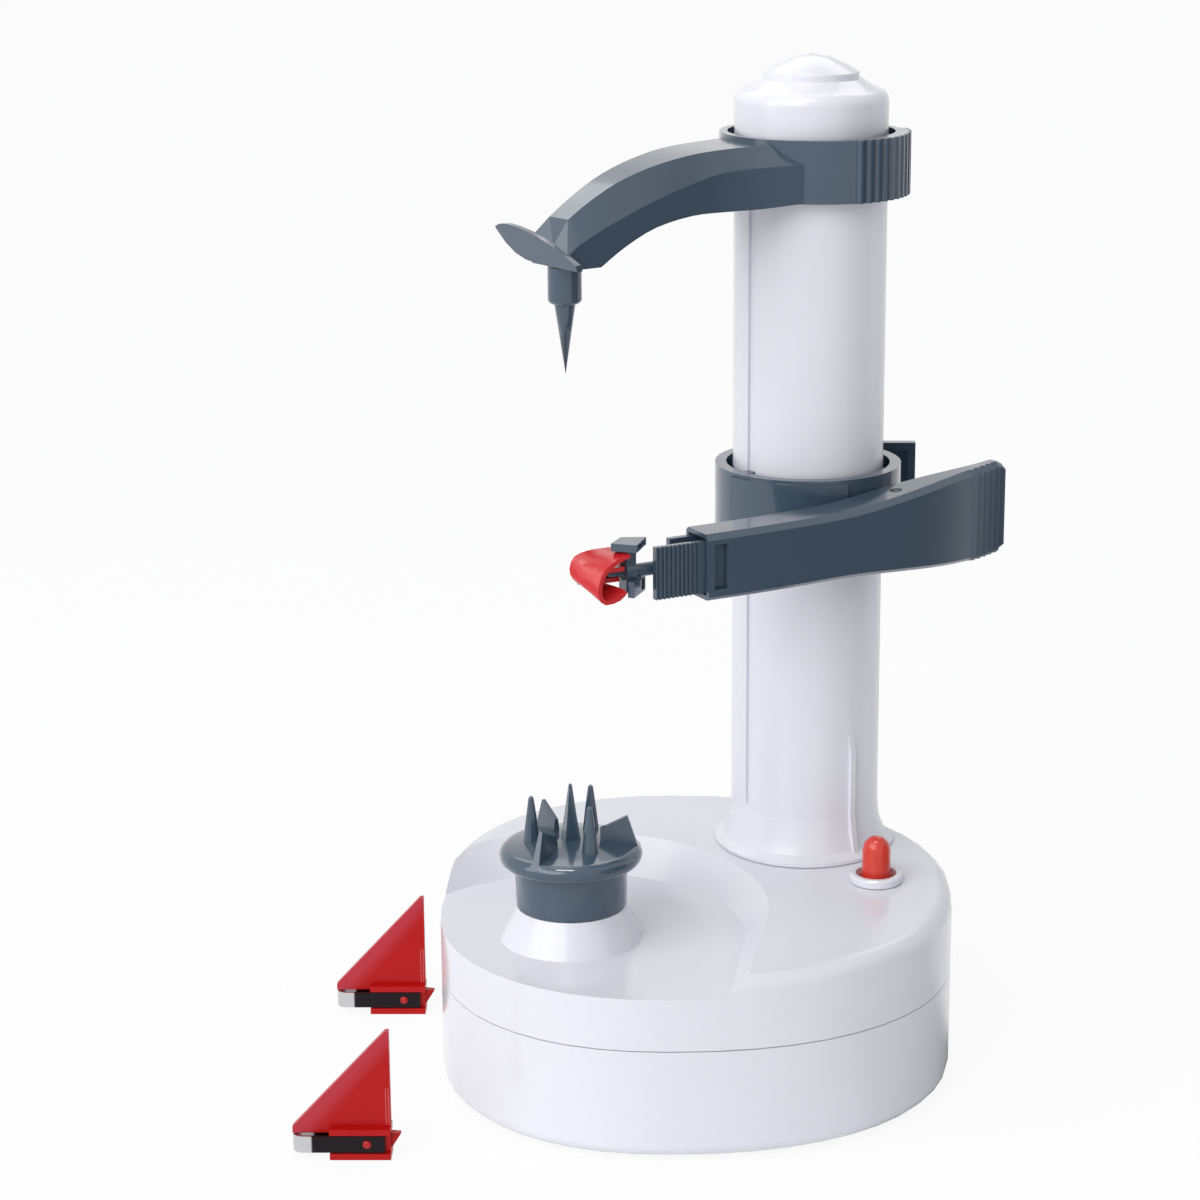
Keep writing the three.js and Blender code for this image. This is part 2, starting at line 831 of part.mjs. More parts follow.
function buildIdlerGear() {
  const bore = idlerShaftRadius + fit;
  const idlerPitch = fullTurn / idlerTeeth;
  const upper = gearBody(idlerTeeth, gearModule, armAngle + idlerPitch / 2, bore, gearBottom);
  const sideAngle = Math.atan2(armSide.y, armSide.x);
  const lower = gearBody(wheelTeeth, driveModule, sideAngle, bore, wheelBottom);
  const neck = tube(postRadius, bore, wheelBottom, gearBottom - wheelBottom + gearThickness / 2);
  return at(join(upper, lower, neck), idlerPlace);
}

function buildScrewGear() {
  const bore = screwRadius + fit;
  const gear = gearBody(screwTeeth, gearModule, armAngle, bore, gearBottom);
  return join(gear, tube(bore + bushWall, bore, gearBottom - gearLevelRise, gearLevelRise + fit));
}

function buildMotorPinion() {
  const sideAngle = Math.atan2(armSide.y, armSide.x);
  const gapAngle = sideAngle + Math.PI + Math.PI / pinionTeeth;
  const gear = prism(gearOutline(pinionTeeth, driveModule, gapAngle), wheelBottom, gearThickness);
  const shaftBottom = plateBottom - motorBoreDepth;
  const shaft = disc(motorShaftRadius, shaftBottom, wheelBottom + fit - shaftBottom, coarseSteps);
  return at(join(gear, shaft), motorPlace);
}

function buildMotor() {
  const top = plateBottom - fit;
  const can = disc(motorRadius, cellFloor, top - cellFloor);
  const bore = disc(motorShaftRadius + fit, top - motorBoreDepth, motorBoreDepth + overrun, coarseSteps);
  return at(cut(can, bore), motorPlace);
}

function buildGearPlate() {
  const around = (place, radius) => circle(radius).map((point) => point.add(place));
  const link = (from, to, radius) => {
    const side = to.clone().sub(from).normalize();
    const normal = flat(-side.y, side.x).multiplyScalar(radius);
    const near = [from.clone().add(normal), from.clone().sub(normal)];
    return [...near, to.clone().sub(normal), to.clone().add(normal)];
  };
  const plates = [
    prism(around(turntablePlace, plateMargin), plateBottom, plateThickness),
    prism(around(idlerPlace, plateMargin), plateBottom, plateThickness),
    prism(around(motorPlace, motorRadius), plateBottom, plateThickness),
    prism(link(turntablePlace, idlerPlace, plateMargin), plateBottom, plateThickness),
    prism(link(idlerPlace, motorPlace, plateMargin), plateBottom, plateThickness),
    at(disc(postRadius, cellFloor, plateBottom - cellFloor + plateThickness / 2), turntablePlace),
    at(disc(postRadius, cellFloor, plateBottom - cellFloor + plateThickness / 2), idlerPlace),
  ];
  const socket = plateBottom - 2 * socketDepth;
  return cut(
    join(...plates),
    at(disc(shaftRadius + fit, socket, plateBottom), turntablePlace),
    at(disc(idlerShaftRadius + fit, socket, plateBottom), idlerPlace),
    at(disc(3 * motorShaftRadius, socket, plateBottom), motorPlace),
  );
}

function buildTurntableShaft() {
  const bottom = plateBottom - 2 * socketDepth + fit;
  return at(disc(shaftRadius, bottom, cupBottom + hubDepth - fit - bottom), turntablePlace);
}

function buildIdlerShaft() {
  const bottom = plateBottom - 2 * socketDepth + fit;
  return at(disc(idlerShaftRadius, bottom, bayCeiling - 2 * fit - bottom), idlerPlace);
}

function buildTurntableBush() {
  const outer = shaftRadius + fit + bushWall;
  return at(tube(outer, shaftRadius + fit, bayCeiling, shellWall + bossHeight), turntablePlace);
}

function buildLeadScrew() {
  return disc(screwRadius, floorTop + socketDepth + fit, screwTop - floorTop - socketDepth - fit);
}

// Turntable

const hubDepth = cupHeight - 2 * cupWall;
const finTopShare = 0.84;
const finInnerShare = 0.56;
const cupDomeShare = 0.8;
const coneSteps = 10;
const coneWaistShares = { radius: 0.66, height: 0.5 };
const coneTipShares = { radius: 0.3, height: 0.95 };
const centreSpikeWaistShares = { radius: 0.55, height: 0.48 };
const centreSpikeTipShares = { radius: 0.16, height: 0.97 };
const spikeCount = 3;
const centreSpikeSides = 4;

function buildSpike(radius, height, waist, tip, steps) {
  return turned(
    [
      [0, -cupWall],
      [radius, -cupWall],
      [radius, 0],
      [radius * waist.radius, height * waist.height],
      [radius * tip.radius, height * tip.height],
      [0, height],
    ],
    steps,
  );
}

function buildFin() {
  const outlineAt = (half) => [
    flat(finInnerRadius, -half),
    flat(finOuterRadius, -half),
    flat(finOuterRadius, half),
    flat(finInnerRadius, half),
  ];
  const upper = (point) => {
    if (point.x > finInnerRadius) return vector(point.x * finTopShare, point.y, finHeight);
    return vector(point.x, point.y, finHeight * finInnerShare);
  };
  return loft([
    { outline: outlineAt(finFootThickness / 2), place: (point) => vector(point.x, point.y, -cupWall / 2) },
    { outline: outlineAt(finTopThickness / 2), place: upper },
  ]);
}

function buildTurntableCup() {
  const top = cupBottom + cupHeight;
  const rimBottom = top - cupRimThickness;
  const hub = shaftRadius + fit + cupHubWall;
  const bore = shaftRadius + fit;
  const round = cupRimThickness / 2;
  const hollow = cupRimRadius - round - cupRadius;
  const edge = [];
  for (let i = 0; i < cupRimSteps; i++) {
    const turn = (i / cupRimSteps) * (Math.PI / 2);
    const out = cupRadius + hollow * (1 - Math.cos(turn));
    edge.push([out, rimBottom - hollow * (1 - Math.sin(turn))]);
  }
  for (let i = 0; i <= cupRimSteps; i++) {
    const turn = (i / cupRimSteps - 1 / 2) * Math.PI;
    edge.push([cupRimRadius - round + round * Math.cos(turn), rimBottom + round + round * Math.sin(turn)]);
  }
  const shell = turned([
    [bore, cupBottom],
    [hub, cupBottom],
    [hub, top - 2 * cupWall],
    [cupRadius - cupWall, top - 2 * cupWall],
    [cupRadius - cupWall, cupBottom],
    [cupRadius - fit, cupBottom],
    ...edge,
    [cupRimRadius / 2, top + cupDomeRise * cupDomeShare],
    [0, top + cupDomeRise],
    [0, cupBottom + hubDepth],
    [bore, cupBottom + hubDepth],
    [bore, cupBottom],
  ]);
  const spikes = [];
  for (let i = 0; i < spikeCount; i++) {
    const turn = (i / spikeCount) * fullTurn;
    const cone = buildSpike(coneRadius, coneHeight, coneWaistShares, coneTipShares, coneSteps);
    spikes.push(at(cone, polar(coneReach, firstCone + turn), top));
    spikes.push(buildFin().rotateZ(firstFin + turn).translate(0, 0, top));
  }
  const centreSpike = buildSpike(
    centreSpikeRadius,
    centreSpikeHeight,
    centreSpikeWaistShares,
    centreSpikeTipShares,
    centreSpikeSides,
  );
  centreSpike.rotateZ(centreSpikeTurn).translate(0, 0, top);
  return at(join(shell, ...spikes, centreSpike), turntablePlace);
}

// Column

function bellProfile(bottom) {
  const profile = [];
  for (let i = 0; i <= edgeSteps; i++) {
    const turn = (i / edgeSteps) * (Math.PI / 2);
    const flare = (bellRadius - columnRadius) * Math.pow(1 - Math.sin(turn), bellCurvePower);
    profile.push([columnRadius + flare, bottom + bellHeight * (1 - Math.cos(turn))]);
  }
  return profile;
}

function buildColumnTube() {
  const bottom = deckHeight - overrun;
  const inner = columnRadius - columnWall;
  const body = turned([
    [columnFootRadius + fit, bottom],
    [bellRadius, bottom],
    ...bellProfile(deckHeight + fit),
    [columnRadius, columnTop],
    [inner, columnTop],
    [inner, deckHeight + footWall],
    [columnFootRadius + fit, deckHeight + footWall],
    [columnFootRadius + fit, bottom],
  ]);
  const outline = circle(2 * bellRadius);
  const underDeck = loft([
    { outline, place: (point) => vector(point.x, point.y, deckAt(point.y) + fit) },
    level(outline, bayFloorHeight - deckHeight),
  ]);
  const insideRim = prism(baseOutline(deckEdgeRadius + bellEdgeInset), 0, deckHeight + bellHeight);
  const aboveBell = disc(columnRadius, deckHeight, columnTop, roundSteps);
  const ribProfile = [
    flat(columnRadius - columnWall / 2, deckHeight),
    flat(columnRadius + ribFootProud, deckHeight),
    flat(columnRadius + ribProud, deckHeight + bellHeight),
    flat(columnRadius + ribProud, ribTop - bellHeight),
    flat(columnRadius - columnWall / 2, ribTop),
  ];
  const rib = prism(ribProfile, -ribThickness / 2, ribThickness).rotateX(Math.PI / 2).rotateZ(ribAngle);
  const groove = block(
    2 * grooveDepth,
    grooveWidth,
    columnTop - grooveBottom + overrun,
    columnRadius,
    0,
    grooveBottom,
  ).rotateZ(armAngle);
  const slotDepth = 2 * columnWall + overrun;
  const slot = block(slotDepth, slotWidth, slotTop - slotBottom, columnRadius, 0, slotBottom);
  const trimmed = common(body, join(insideRim, aboveBell));
  return cut(join(trimmed, rib), underDeck, groove, slot.rotateZ(armAngle + Math.PI));
}

function buildColumnCap() {
  const bottom = columnTop + fit;
  const plug = columnRadius - columnWall - fit;
  const skirt = bottom + capSkirtHeight;
  const shoulder = bottom + capShoulderHeight;
  const rim = shoulder + capDomeRim;
  const top = bottom + capHeight;
  const capRound = [];
  for (let i = 1; i <= capEdgeSteps; i++) {
    const turn = (i / capEdgeSteps) * (Math.PI / 2);
    capRound.push([columnRadius - capEdge * (1 - Math.cos(turn)), skirt + capEdge * Math.sin(turn)]);
  }
  const profile = [
    [plug, bottom - capPlugDepth],
    [plug, bottom],
    [columnRadius, bottom],
    [columnRadius, skirt],
    ...capRound,
    [capDomeRadius + capStep, shoulder],
    [capDomeRadius, shoulder],
    [capDomeRadius, rim],
  ];
  capDomeShares.forEach((share) => {
    profile.push([capDomeRadius * share, rim + (top - rim) * Math.cos((share * Math.PI) / 2)]);
  });
  profile.push([0, rim - capWall]);
  profile.push([capDomeRadius - capWall, rim - capWall]);
  profile.push([plug - capWall, skirt]);
  profile.push([plug - capWall, bottom - capPlugDepth]);
  profile.push(profile[0]);
  return turned(profile);
}

function buildTopBearing() {
  return tube(columnRadius - columnWall - fit, screwRadius + fit, bearingBottom, bearingHeight, roundSteps);
}

// Upper arm

// Stations along the arm: its reach, then the heights and half widths there. Where the arch of the
// underside falls below zero the underside is flat, for the spike.
const armReachShares = [0.205, 0.341, 0.477, 0.591, 0.727, 0.841, 0.94, 1.02];
const armTopShares = [0.99, 0.985, 0.975, 0.945, 0.863, 0.749, 0.6, 0.45];
const armSideShares = [0.805, 0.797, 0.772, 0.69, 0.572, 0.457, 0.342, 0.23];
const armBottomShares = [0.43, 0.4, 0.395, 0.385, 0.313, 0.174, 0, -0.16];
const armCrownShares = [1.12, 0.98, 0.87, 0.76, 0.62, 0.52, 0.45, 0.41];
const armFlankShares = [1.85, 1.5, 1.2, 1.04, 0.98, 0.96, 0.94, 0.905];
const armCurves = [armTopShares, armSideShares, armBottomShares, armCrownShares, armFlankShares].map(
  (shares) => new THREE.SplineCurve(shares.map((share, i) => flat(armReachShares[i], share))),
);
const armChannelShares = { from: 0.14, to: 0.7 };
const armEndShares = { top: 0.305, nearTop: 0.22, side: 0.13, bottom: 0, crown: 0.38, flank: 0.87 };

function inArmFrame(reach) {
  return (point) =>
    vector(
      armDirection.x * reach + armSide.x * point.x,
      armDirection.y * reach + armSide.y * point.x,
      point.y,
    );
}

function armHeight(share) {
  return armTipHeight + armArchHeight * share;
}

function armStation(share) {
  const points = armCurves.map((curve) => curve.getPoint(share));
  const [top, side, arch, crown, flank] = points.map((point) => point.y);
  return { reach: armReach * points[0].x, top, side, bottom: Math.max(0, arch), crown, flank };
}

function armSection({ reach, top, nearTop = top, side, bottom, crown, flank, lean = 0 }) {
  const [crownHalf, flankHalf] = [armHalfWidth * crown, armHalfWidth * flank];
  const outline = [
    flat(-flankHalf, armHeight(bottom)),
    flat(flankHalf, armHeight(bottom)),
    flat(flankHalf, armHeight(side)),
    flat(crownHalf, armHeight(nearTop)),
    flat(-crownHalf, armHeight(top)),
    flat(-flankHalf, armHeight(side)),
  ];
  const place = (point) => inArmFrame(reach + lean * (point.y - armTipHeight))(point);
  return { outline, place };
}

function buildArmBody() {
  const sections = [];
  for (let i = 0; i <= armStations; i++) sections.push(armSection(armStation(i / armStations)));
  const end = armReach + flangeReach + flangeThickness / 2;
  sections.push(armSection({ ...armEndShares, reach: end, lean: flangeLean }));
  return loft(sections);
}

// Hollow underside between the ring and the spike
function buildArmChannel() {
  const sections = [];
  for (let i = 0; i <= coarseSteps; i++) {
    const share = THREE.MathUtils.lerp(armChannelShares.from, armChannelShares.to, i / coarseSteps);
    const { reach, side, bottom, flank } = armStation(share);
    const half = armHalfWidth * Math.min(1, flank) - armWall;
    const [low, high] = [armHeight(bottom) - overrun, armHeight(side) - armWall / 2];
    const outline = [flat(-half, low), flat(half, low), flat(half, high), flat(-half, high)];
    sections.push({ outline, place: inArmFrame(reach) });
  }
  return loft(sections);
}

// Thumb flange across the end of the arm: a leaf that leans outward and rises on its far side.
// Each row is the share of the way across, then the shares of its height for its lower and upper edge.
const flangeShares = [
  [0, 0.02, 0.17],
  [0.12, 0.02, 0.37],
  [0.25, 0.02, 0.55],
  [0.4, 0.02, 0.7],
  [0.55, 0.03, 0.81],
  [0.7, 0.08, 0.88],
  [0.82, 0.2, 0.91],
  [0.92, 0.42, 0.88],
  [1, 0.74, 0.8],
];

function buildThumbFlange() {
  const sections = flangeShares.map(([acrossShare, lowShare, highShare]) => {
    const across = flangeNearSpan - (flangeNearSpan + flangeSpan) * acrossShare;
    const low = armTipHeight + flangeHeight * lowShare;
    const high = armTipHeight + flangeHeight * highShare;
    const outer = (height) => armReach + flangeReach + flangeLean * (height - armTipHeight);
    const place = (point) => inArmFrame(outer(point.y) + point.x)(flat(across, point.y));
    const outline = [flat(0, low), flat(flangeThickness, low), flat(flangeThickness, high), flat(0, high)];
    return { outline, place };
  });
  return loft(sections);
}

// Ring of the upper arm: round, flat on its front, with vertical ribs on its right
function gripOutline() {
  const points = [];
  const arc = (radius, from, to, steps) => {
    for (let i = 0; i < steps; i++) points.push(polar(radius, from + ((to - from) * i) / steps));
  };
  arc(upperRingRadius, gripEnd, gripFlat + fullTurn, fineSteps);
  arc(upperRingRadius, gripFlat, (gripFlat + gripStart) / 2, 1);
  arc((upperRingRadius + gripRadius) / 2, (gripFlat + gripStart) / 2, gripStart, 1);
  const pitch = (gripEnd - gripStart) / gripRibs;
  for (let i = 0; i < gripRibs; i++) {
    const start = gripStart + i * pitch;
    arc(gripRadius, start, start + pitch / 2, 2);
    arc(gripRadius + gripRibHeight, start + pitch / 2, start + pitch, 2);
  }
  return points;
}

function guideKey(bottom, height) {
  const depth = ringBore + fit - keyInner;
  return block(depth, grooveWidth - 2 * fit, height, keyInner + depth / 2, 0, bottom).rotateZ(armAngle);
}

function buildUpperArm() {
  const ring = prism(gripOutline(), upperRingBottom, upperRingHeight);
  const bore = disc(ringBore, upperRingBottom - armArchHeight, 3 * armArchHeight, roundSteps);
  const arm = cut(buildArmBody(), buildArmChannel());
  const spindleBore = at(
    disc(spindleRadius + fit, armTipHeight - overrun, overrun + spindleLength + fit),
    turntablePlace,
  );
  const body = cut(join(ring, arm, buildThumbFlange()), bore, spindleBore);
  return join(body, guideKey(upperRingBottom, columnTop - upperRingBottom));
}

function buildHoldingSpike() {
  const top = armTipHeight - fit;
  const collarBottom = top - spikeCollarLength;
  return at(
    turned(
      [
        [0, collarBottom - spikeLength],
        [spikeRadius, collarBottom],
        [spikeCollarRadius - spikeCollarBevel, collarBottom],
        [spikeCollarRadius, collarBottom + spikeCollarBevel],
        [spikeCollarRadius, top],
        [spindleRadius, top],
        [spindleRadius, top + spindleLength],
        [0, top + spindleLength],
      ],
      fineSteps,
    ),
    turntablePlace,
  );
}

// Carriage

const lugBottom = carriageBottom + lugDrop;

function buildKeyHousing() {
  const outline = [flat(0, 0)];
  for (let i = 0; i <= coarseSteps; i++) {
    const angle = THREE.MathUtils.lerp(keyHousingStart, keyHousingEnd, i / coarseSteps);
    outline.push(polar(keyHousingRadius, angle));
  }
  return prism(outline, carriageBottom, carriageHeight - keyHousingDrop);
}

function buildCarriageRing() {
  const ring = disc(carriageRadius, carriageBottom, carriageHeight, 2 * roundSteps);
  const lug = at(disc(lugRadius, lugBottom, lugHeight), pivotPlace);
  const lugNeck = block(pivotReach, 2 * lugRadius, lugHeight, pivotReach / 2, 0, lugBottom);
  const tabMiddle = carriageRadius - fit - tabThickness / 2;
  const tab = block(tabReach, tabThickness, tabHeight, tabReach / 2, tabMiddle, carriageTop - tabHeight);
  const panelWidth = tabReach - carriageRadius + 2 * tabPanelInset;
  const panel = block(
    panelWidth,
    2 * tabPanelDepth,
    tabHeight - 2 * tabPanelInset,
    tabReach - tabPanelInset - panelWidth / 2,
    tabMiddle - tabThickness / 2,
    carriageTop - tabHeight + tabPanelInset,
  );
  const bore = disc(ringBore, carriageBottom - overrun, carriageHeight + 2 * overrun, roundSteps);
  const pinHole = disc(pinRadius + fit, lugBottom - overrun, lugHeight + 2 * overrun, coarseSteps);
  const solid = join(ring, buildKeyHousing(), lug, lugNeck.rotateZ(pivotAngle), tab);
  const body = cut(solid, panel, bore, at(pinHole, pivotPlace));
  return join(body, guideKey(carriageBottom, carriageHeight));
}

function buildScrewFollower() {
  const length = ringBore - fit;
  const bottom = carriageBottom + (carriageHeight - followerHeight) / 2;
  const bar = block(length, followerWidth, followerHeight, length / 2, 0, bottom);
  const bore = disc(screwRadius + fit, bottom - overrun, followerHeight + 2 * overrun);
  return cut(bar.rotateZ(armAngle + Math.PI), bore);
}

function buildPivotPin() {
  const height = leverHeightAt(pivotShare());
  return at(disc(pinRadius, leverMiddle - height / 2, height, coarseSteps), pivotPlace);
}

function buildLeverSpring() {
  const bottom = springFloor() + fit + springWireRadius;
  const top = lugBottom - fit - springWireRadius;
  const radius = pinRadius + 2 * fit + 2 * springWireRadius;
  return at(coil(radius, springWireRadius, springCurls, bottom, top - bottom), pivotPlace);
}

// Lever

// Ends and handles of the curve that the outer face follows, as shares of the lever's length
const leverPathShares = [
  [-0.2655, -0.621],
  [0.007, -0.468],
  [0.333, -0.25],
  [0.526, 0.05],
];
const leverPath = new THREE.CubicBezierCurve(
  ...leverPathShares.map(([right, back]) => flat(leverLength * right, leverLength * back)),
);
const leverStart = leverPath.v0;
const leverOut = leverPath.getTangentAt(0).negate();

function leverHeightAt(share) {
  const rise = THREE.MathUtils.smoothstep(share, leverRiseShares.from, leverRiseShares.to);
  const grown = THREE.MathUtils.lerp(rise, share, leverRiseShares.even);
  return THREE.MathUtils.lerp(leverMouthHeight, leverPaddleHeight, grown);
}

function leverThicknessAt(share) {
  const taper = THREE.MathUtils.smoothstep(share, leverTaperShares.from, leverTaperShares.to);
  return THREE.MathUtils.lerp(leverThickness, leverTipThickness, taper);
}

function leverPlace(share) {
  const point = leverPath.getPointAt(share);
  const along = leverPath.getTangentAt(share);
  const back = flat(-along.y, along.x);
  return (p) => vector(point.x + back.x * p.x, point.y + back.y * p.x, leverMiddle + p.y);
}

function leverSection(share, near) {
  const thickness = leverThicknessAt(share);
  const endShare = Math.max(0, 1 - (1 - share) / leverTipShare);
  const round = Math.sqrt(1 - leverTipRoundShare * endShare * endShare);
  const half = (leverHeightAt(share) / 2) * round;
  const edge = leverChamfer;
  const outline = [
    flat(-near, edge - half),
    flat(edge - near, -half),
    flat(thickness - edge, -half),
    flat(thickness, edge - half),
    flat(thickness, half - edge),
    flat(thickness - edge, half),
    flat(leverTopChamfer - near, half),
    flat(-near, half - leverTopChamfer),
  ];
  return { outline, place: leverPlace(share) };
}

function pivotShare() {
  let best = 0;
  for (let i = 0; i <= pivotSearchSteps; i++) {
    const share = i / pivotSearchSteps;
    const distance = leverPath.getPointAt(share).distanceTo(pivotPlace);
    if (distance < leverPath.getPointAt(best).distanceTo(pivotPlace)) best = share;
  }
  return best;
}

function springFloor() {
  return leverMiddle - leverHeightAt(pivotShare()) / 2 + 2 * leverWall;
}

function leverBody() {
  const ribZone = (paddleRibs * paddleRibPitch) / leverLength;
  const sections = [];
  for (let i = 0; i <= leverStations; i++) {
    sections.push(leverSection((i / leverStations) * (1 - ribZone), 0));
  }
  const ribSteps = 2 * paddleRibs;
  for (let i = 1; i <= ribSteps; i++) {
    const raised = i % 2 === 1 ? paddleRibDepth : 0;
    sections.push(leverSection(1 - ribZone + (ribZone * i) / ribSteps, raised));
  }
  return loft(sections);
}

function buildPeelingLever() {
  const mouth = inHead(
    block(
      mouthDepth + overrun,
      leverThickness - 2 * leverWall,
      leverMouthHeight - 2 * leverWall,
      (overrun - mouthDepth) / 2,
      leverThickness / 2,
      leverMiddle - leverMouthHeight / 2 + leverWall,
    ),
  );
  const window = inHead(
    block(
      slotWindowLength,
      2 * leverWall + overrun,
      slotWindowHeight,
      -slotWindowNear - slotWindowLength / 2,
      0,
      leverMiddle - slotWindowHeight / 2,
    ),
  );
  const room = lugRadius + 3 * fit;
  const slotFloor = springFloor();
  const slotHeight = lugBottom + lugHeight + fit - slotFloor;
  const lugRoom = at(disc(room, slotFloor, slotHeight), pivotPlace);
  const swing = Array.from({ length: swingSteps + 1 }, (unused, step) => {
    const angle = pivotAngle + Math.PI - (swingRoom * step) / swingSteps;
    const lane = block(pivotReach, 2 * room, slotHeight, pivotReach / 2, 0, slotFloor);
    return at(lane.rotateZ(angle), pivotPlace);
  });
  const height = leverPaddleHeight + 2 * overrun;
  const pinHole = at(disc(pinRadius + fit, leverMiddle - height / 2, height, coarseSteps), pivotPlace);
  const ringSpace = disc(keyHousingRadius + fit, leverMiddle - height, 2 * height, roundSteps);
  return cut(leverBody(), mouth, window, lugRoom, ...swing, pinHole, ringSpace);
}

// Blade head: x runs out of the mouth, y toward the column side
function inHead(geometry) {
  const angle = Math.atan2(leverOut.y, leverOut.x);
  return tidy(geometry.clone().scale(1, -1, 1).rotateZ(angle).translate(leverStart.x, leverStart.y, 0));
}

function alongHead(geometry, start) {
  return geometry.rotateY(Math.PI / 2).translate(start, headDepth, headHeight);
}

function buildFrontJaw() {
  const front = headDepth - rodRadius - 2 * fit - jawThickness;
  const bottom = leverMiddle - jawHeight / 2;
  const length = jawGrip + frontJawReach;
  const middle = front + jawThickness / 2;
  const plate = block(length, jawThickness, jawHeight, frontJawReach - length / 2, middle, bottom);
  const pitch = (frontJawReach - overrun) / jawRibs;
  const grooves = [];
  for (let i = 0; i < jawRibs; i++) {
    const x = overrun + pitch * (i + 0.5);
    grooves.push(block(pitch / 2, 2 * jawRibDepth, jawHeight + overrun, x, front, bottom - overrun / 2));
  }
  return inHead(cut(plate, ...grooves));
}

function buildRearJaw() {
  const front = headDepth + rodRadius + 2 * fit;
  const length = jawGrip + rearJawReach;
  const bottom = leverMiddle - jawHeight / 2;
  return inHead(
    block(length, jawThickness, jawHeight, rearJawReach - length / 2, front + jawThickness / 2, bottom),
  );
}

function buildBladeRod() {
  const rod = disc(rodRadius, 0, rodLength + jawGrip, coarseSteps);
  const pin = disc(rodPinRadius, rodLength, rodPinLength + jawGrip, coarseSteps);
  return inHead(alongHead(join(rod, pin), -jawGrip));
}

// Plans of the guide's arms as shares of the head depth, from the corner nearest the mouth
const upperGuideShares = [
  [0, 1.06],
  [0.98, 1.55],
  [1.87, 0.77],
  [1.07, -0.06],
];
const lowerGuideShares = [
  [0, 1.14],
  [0.46, 1.6],
  [1.28, 0.35],
  [1.12, 0.1],
];

// One arm of the guide: a box that is open on the side of its first and last corner
function guideArm(shares, bottom, height) {
  const middle = flat(0, 0);
  const corners = shares.map(([x, y]) => flat(guideStart + headDepth * x, headDepth * y));
  corners.forEach((corner) => middle.addScaledVector(corner, 1 / corners.length));
  const opening = corners[0].clone().sub(corners[1]).setLength(guideOpening);
  const inner = corners.map((corner) => {
    const inset = middle.clone().sub(corner).setLength(guideWall);
    return corner.clone().add(inset).add(opening);
  });
  return cut(prism(corners, bottom, height), prism(inner, bottom + guideWall, height - 2 * guideWall));
}

// Two open arms above and below the rod, on one hub that turns on the rod
function buildBladeGuide() {
  const upper = guideArm(upperGuideShares, guideTop - upperGuideHeight, upperGuideHeight);
  const lower = guideArm(lowerGuideShares, guideBottom, lowerGuideHeight);
  const hub = block(
    guideHubLength,
    guideHubDepth,
    guideTop - guideBottom - 2 * guideWall,
    guideHubStart + guideHubLength / 2,
    headDepth,
    guideBottom + guideWall,
  );
  const sleeve = alongHead(disc(rodRadius + fit + guideWall, 0, guideHubLength), guideHubStart);
  const bore = alongHead(disc(rodRadius + fit, 0, rodLength + overrun), 0);
  return inHead(cut(join(upper, lower, hub, sleeve), bore));
}

// Rims of the hood as shares of its length and height, from its top round to its lower left
const hoodFrontShares = [
  [0.24, 0.94],
  [0.42, 0.87],
  [0.64, 0.7],
  [0.75, 0.46],
  [0.76, 0.18],
  [0.64, 0.02],
  [0.4, 0.07],
  [0.28, 0.2],
];
const hoodBackShares = [
  [0.3, 0.945],
  [0.45, 0.95],
  [0.69, 0.94],
  [0.92, 0.86],
  [1, 0.64],
  [0.95, 0.44],
  [0.78, 0.28],
  [0.5, 0.22],
];

// Points along the hood between its front and back rims, set in from its outside
function hoodPoints(backShare, inset) {
  const curve = new THREE.SplineCurve(
    hoodFrontShares.map(([x, y], i) => {
      const alongShare = x + (hoodBackShares[i][0] - x) * backShare;
      const upShare = y + (hoodBackShares[i][1] - y) * backShare;
      return flat(hoodStart + hoodLength * alongShare, hoodBottom + hoodHeight * upShare);
    }),
  );
  return Array.from({ length: hoodSteps + 1 }, (unused, i) => {
    const along = curve.getTangent(i / hoodSteps);
    return curve.getPoint(i / hoodSteps).add(flat(along.y, -along.x).multiplyScalar(inset));
  });
}

function hoodSection(backShare) {
  const depth = hoodFront + (hoodBack - hoodFront) * backShare;
  const outline = [...hoodPoints(backShare, 0), ...hoodPoints(backShare, hoodWall).reverse()];
  return { outline, place: (point) => vector(point.x, depth, point.y) };
}

// Open hood with a back wall, and a saddle on it that rests on the end pin of the rod
function buildBladeHolder() {
  const shell = loft(hoodDepthShares.map(hoodSection));
  const backWall = prism(hoodPoints(1, hoodWall), fit - hoodBack, hoodWall).rotateX(Math.PI / 2);
  const saddleMiddle = saddleStart + saddleLength / 2;
  const saddleBack = hoodBack - hoodWall / 2;
  const saddleDepth = saddleBack - headDepth;
  const ledgeDepth = saddleBack - saddleLedgeFront;
  const room = rodPinRadius + fit;
  const saddle = block(
    saddleLength,
    saddleDepth,
    2 * (room + hoodWall),
    saddleMiddle,
    saddleBack - saddleDepth / 2,
    headHeight - room - hoodWall,
  );
  const ledge = block(
    saddleLength,
    ledgeDepth,
    hoodWall,
    saddleMiddle,
    saddleBack - ledgeDepth / 2,
    headHeight + room,
  );
  const bore = alongHead(disc(room, 0, saddleStart + saddleLength), overrun);
  return inHead(cut(join(shell, backWall, saddle, ledge), bore));
}

function bowedStrip(length, thickness, bow) {
  const side = (inset) =>
    Array.from({ length: bladeSteps + 1 }, (unused, i) => {
      const share = i / bladeSteps;
      return flat(length * share, inset + bow * Math.sin(share * Math.PI));
    });
  return [...side(0), ...side(thickness).reverse()];
}

function buildBladeSteel() {
  const start = hoodStart + hoodLength * bladeStartShare;
  const bottom = hoodBottom + hoodHeight * bladeBottomShare;
  const strip = prism(bowedStrip(bladeLength, bladeThickness, bladeBow), bottom, bladeHeight);
  return inHead(moved(strip, start, hoodBack + fit, 0));
}

// Power

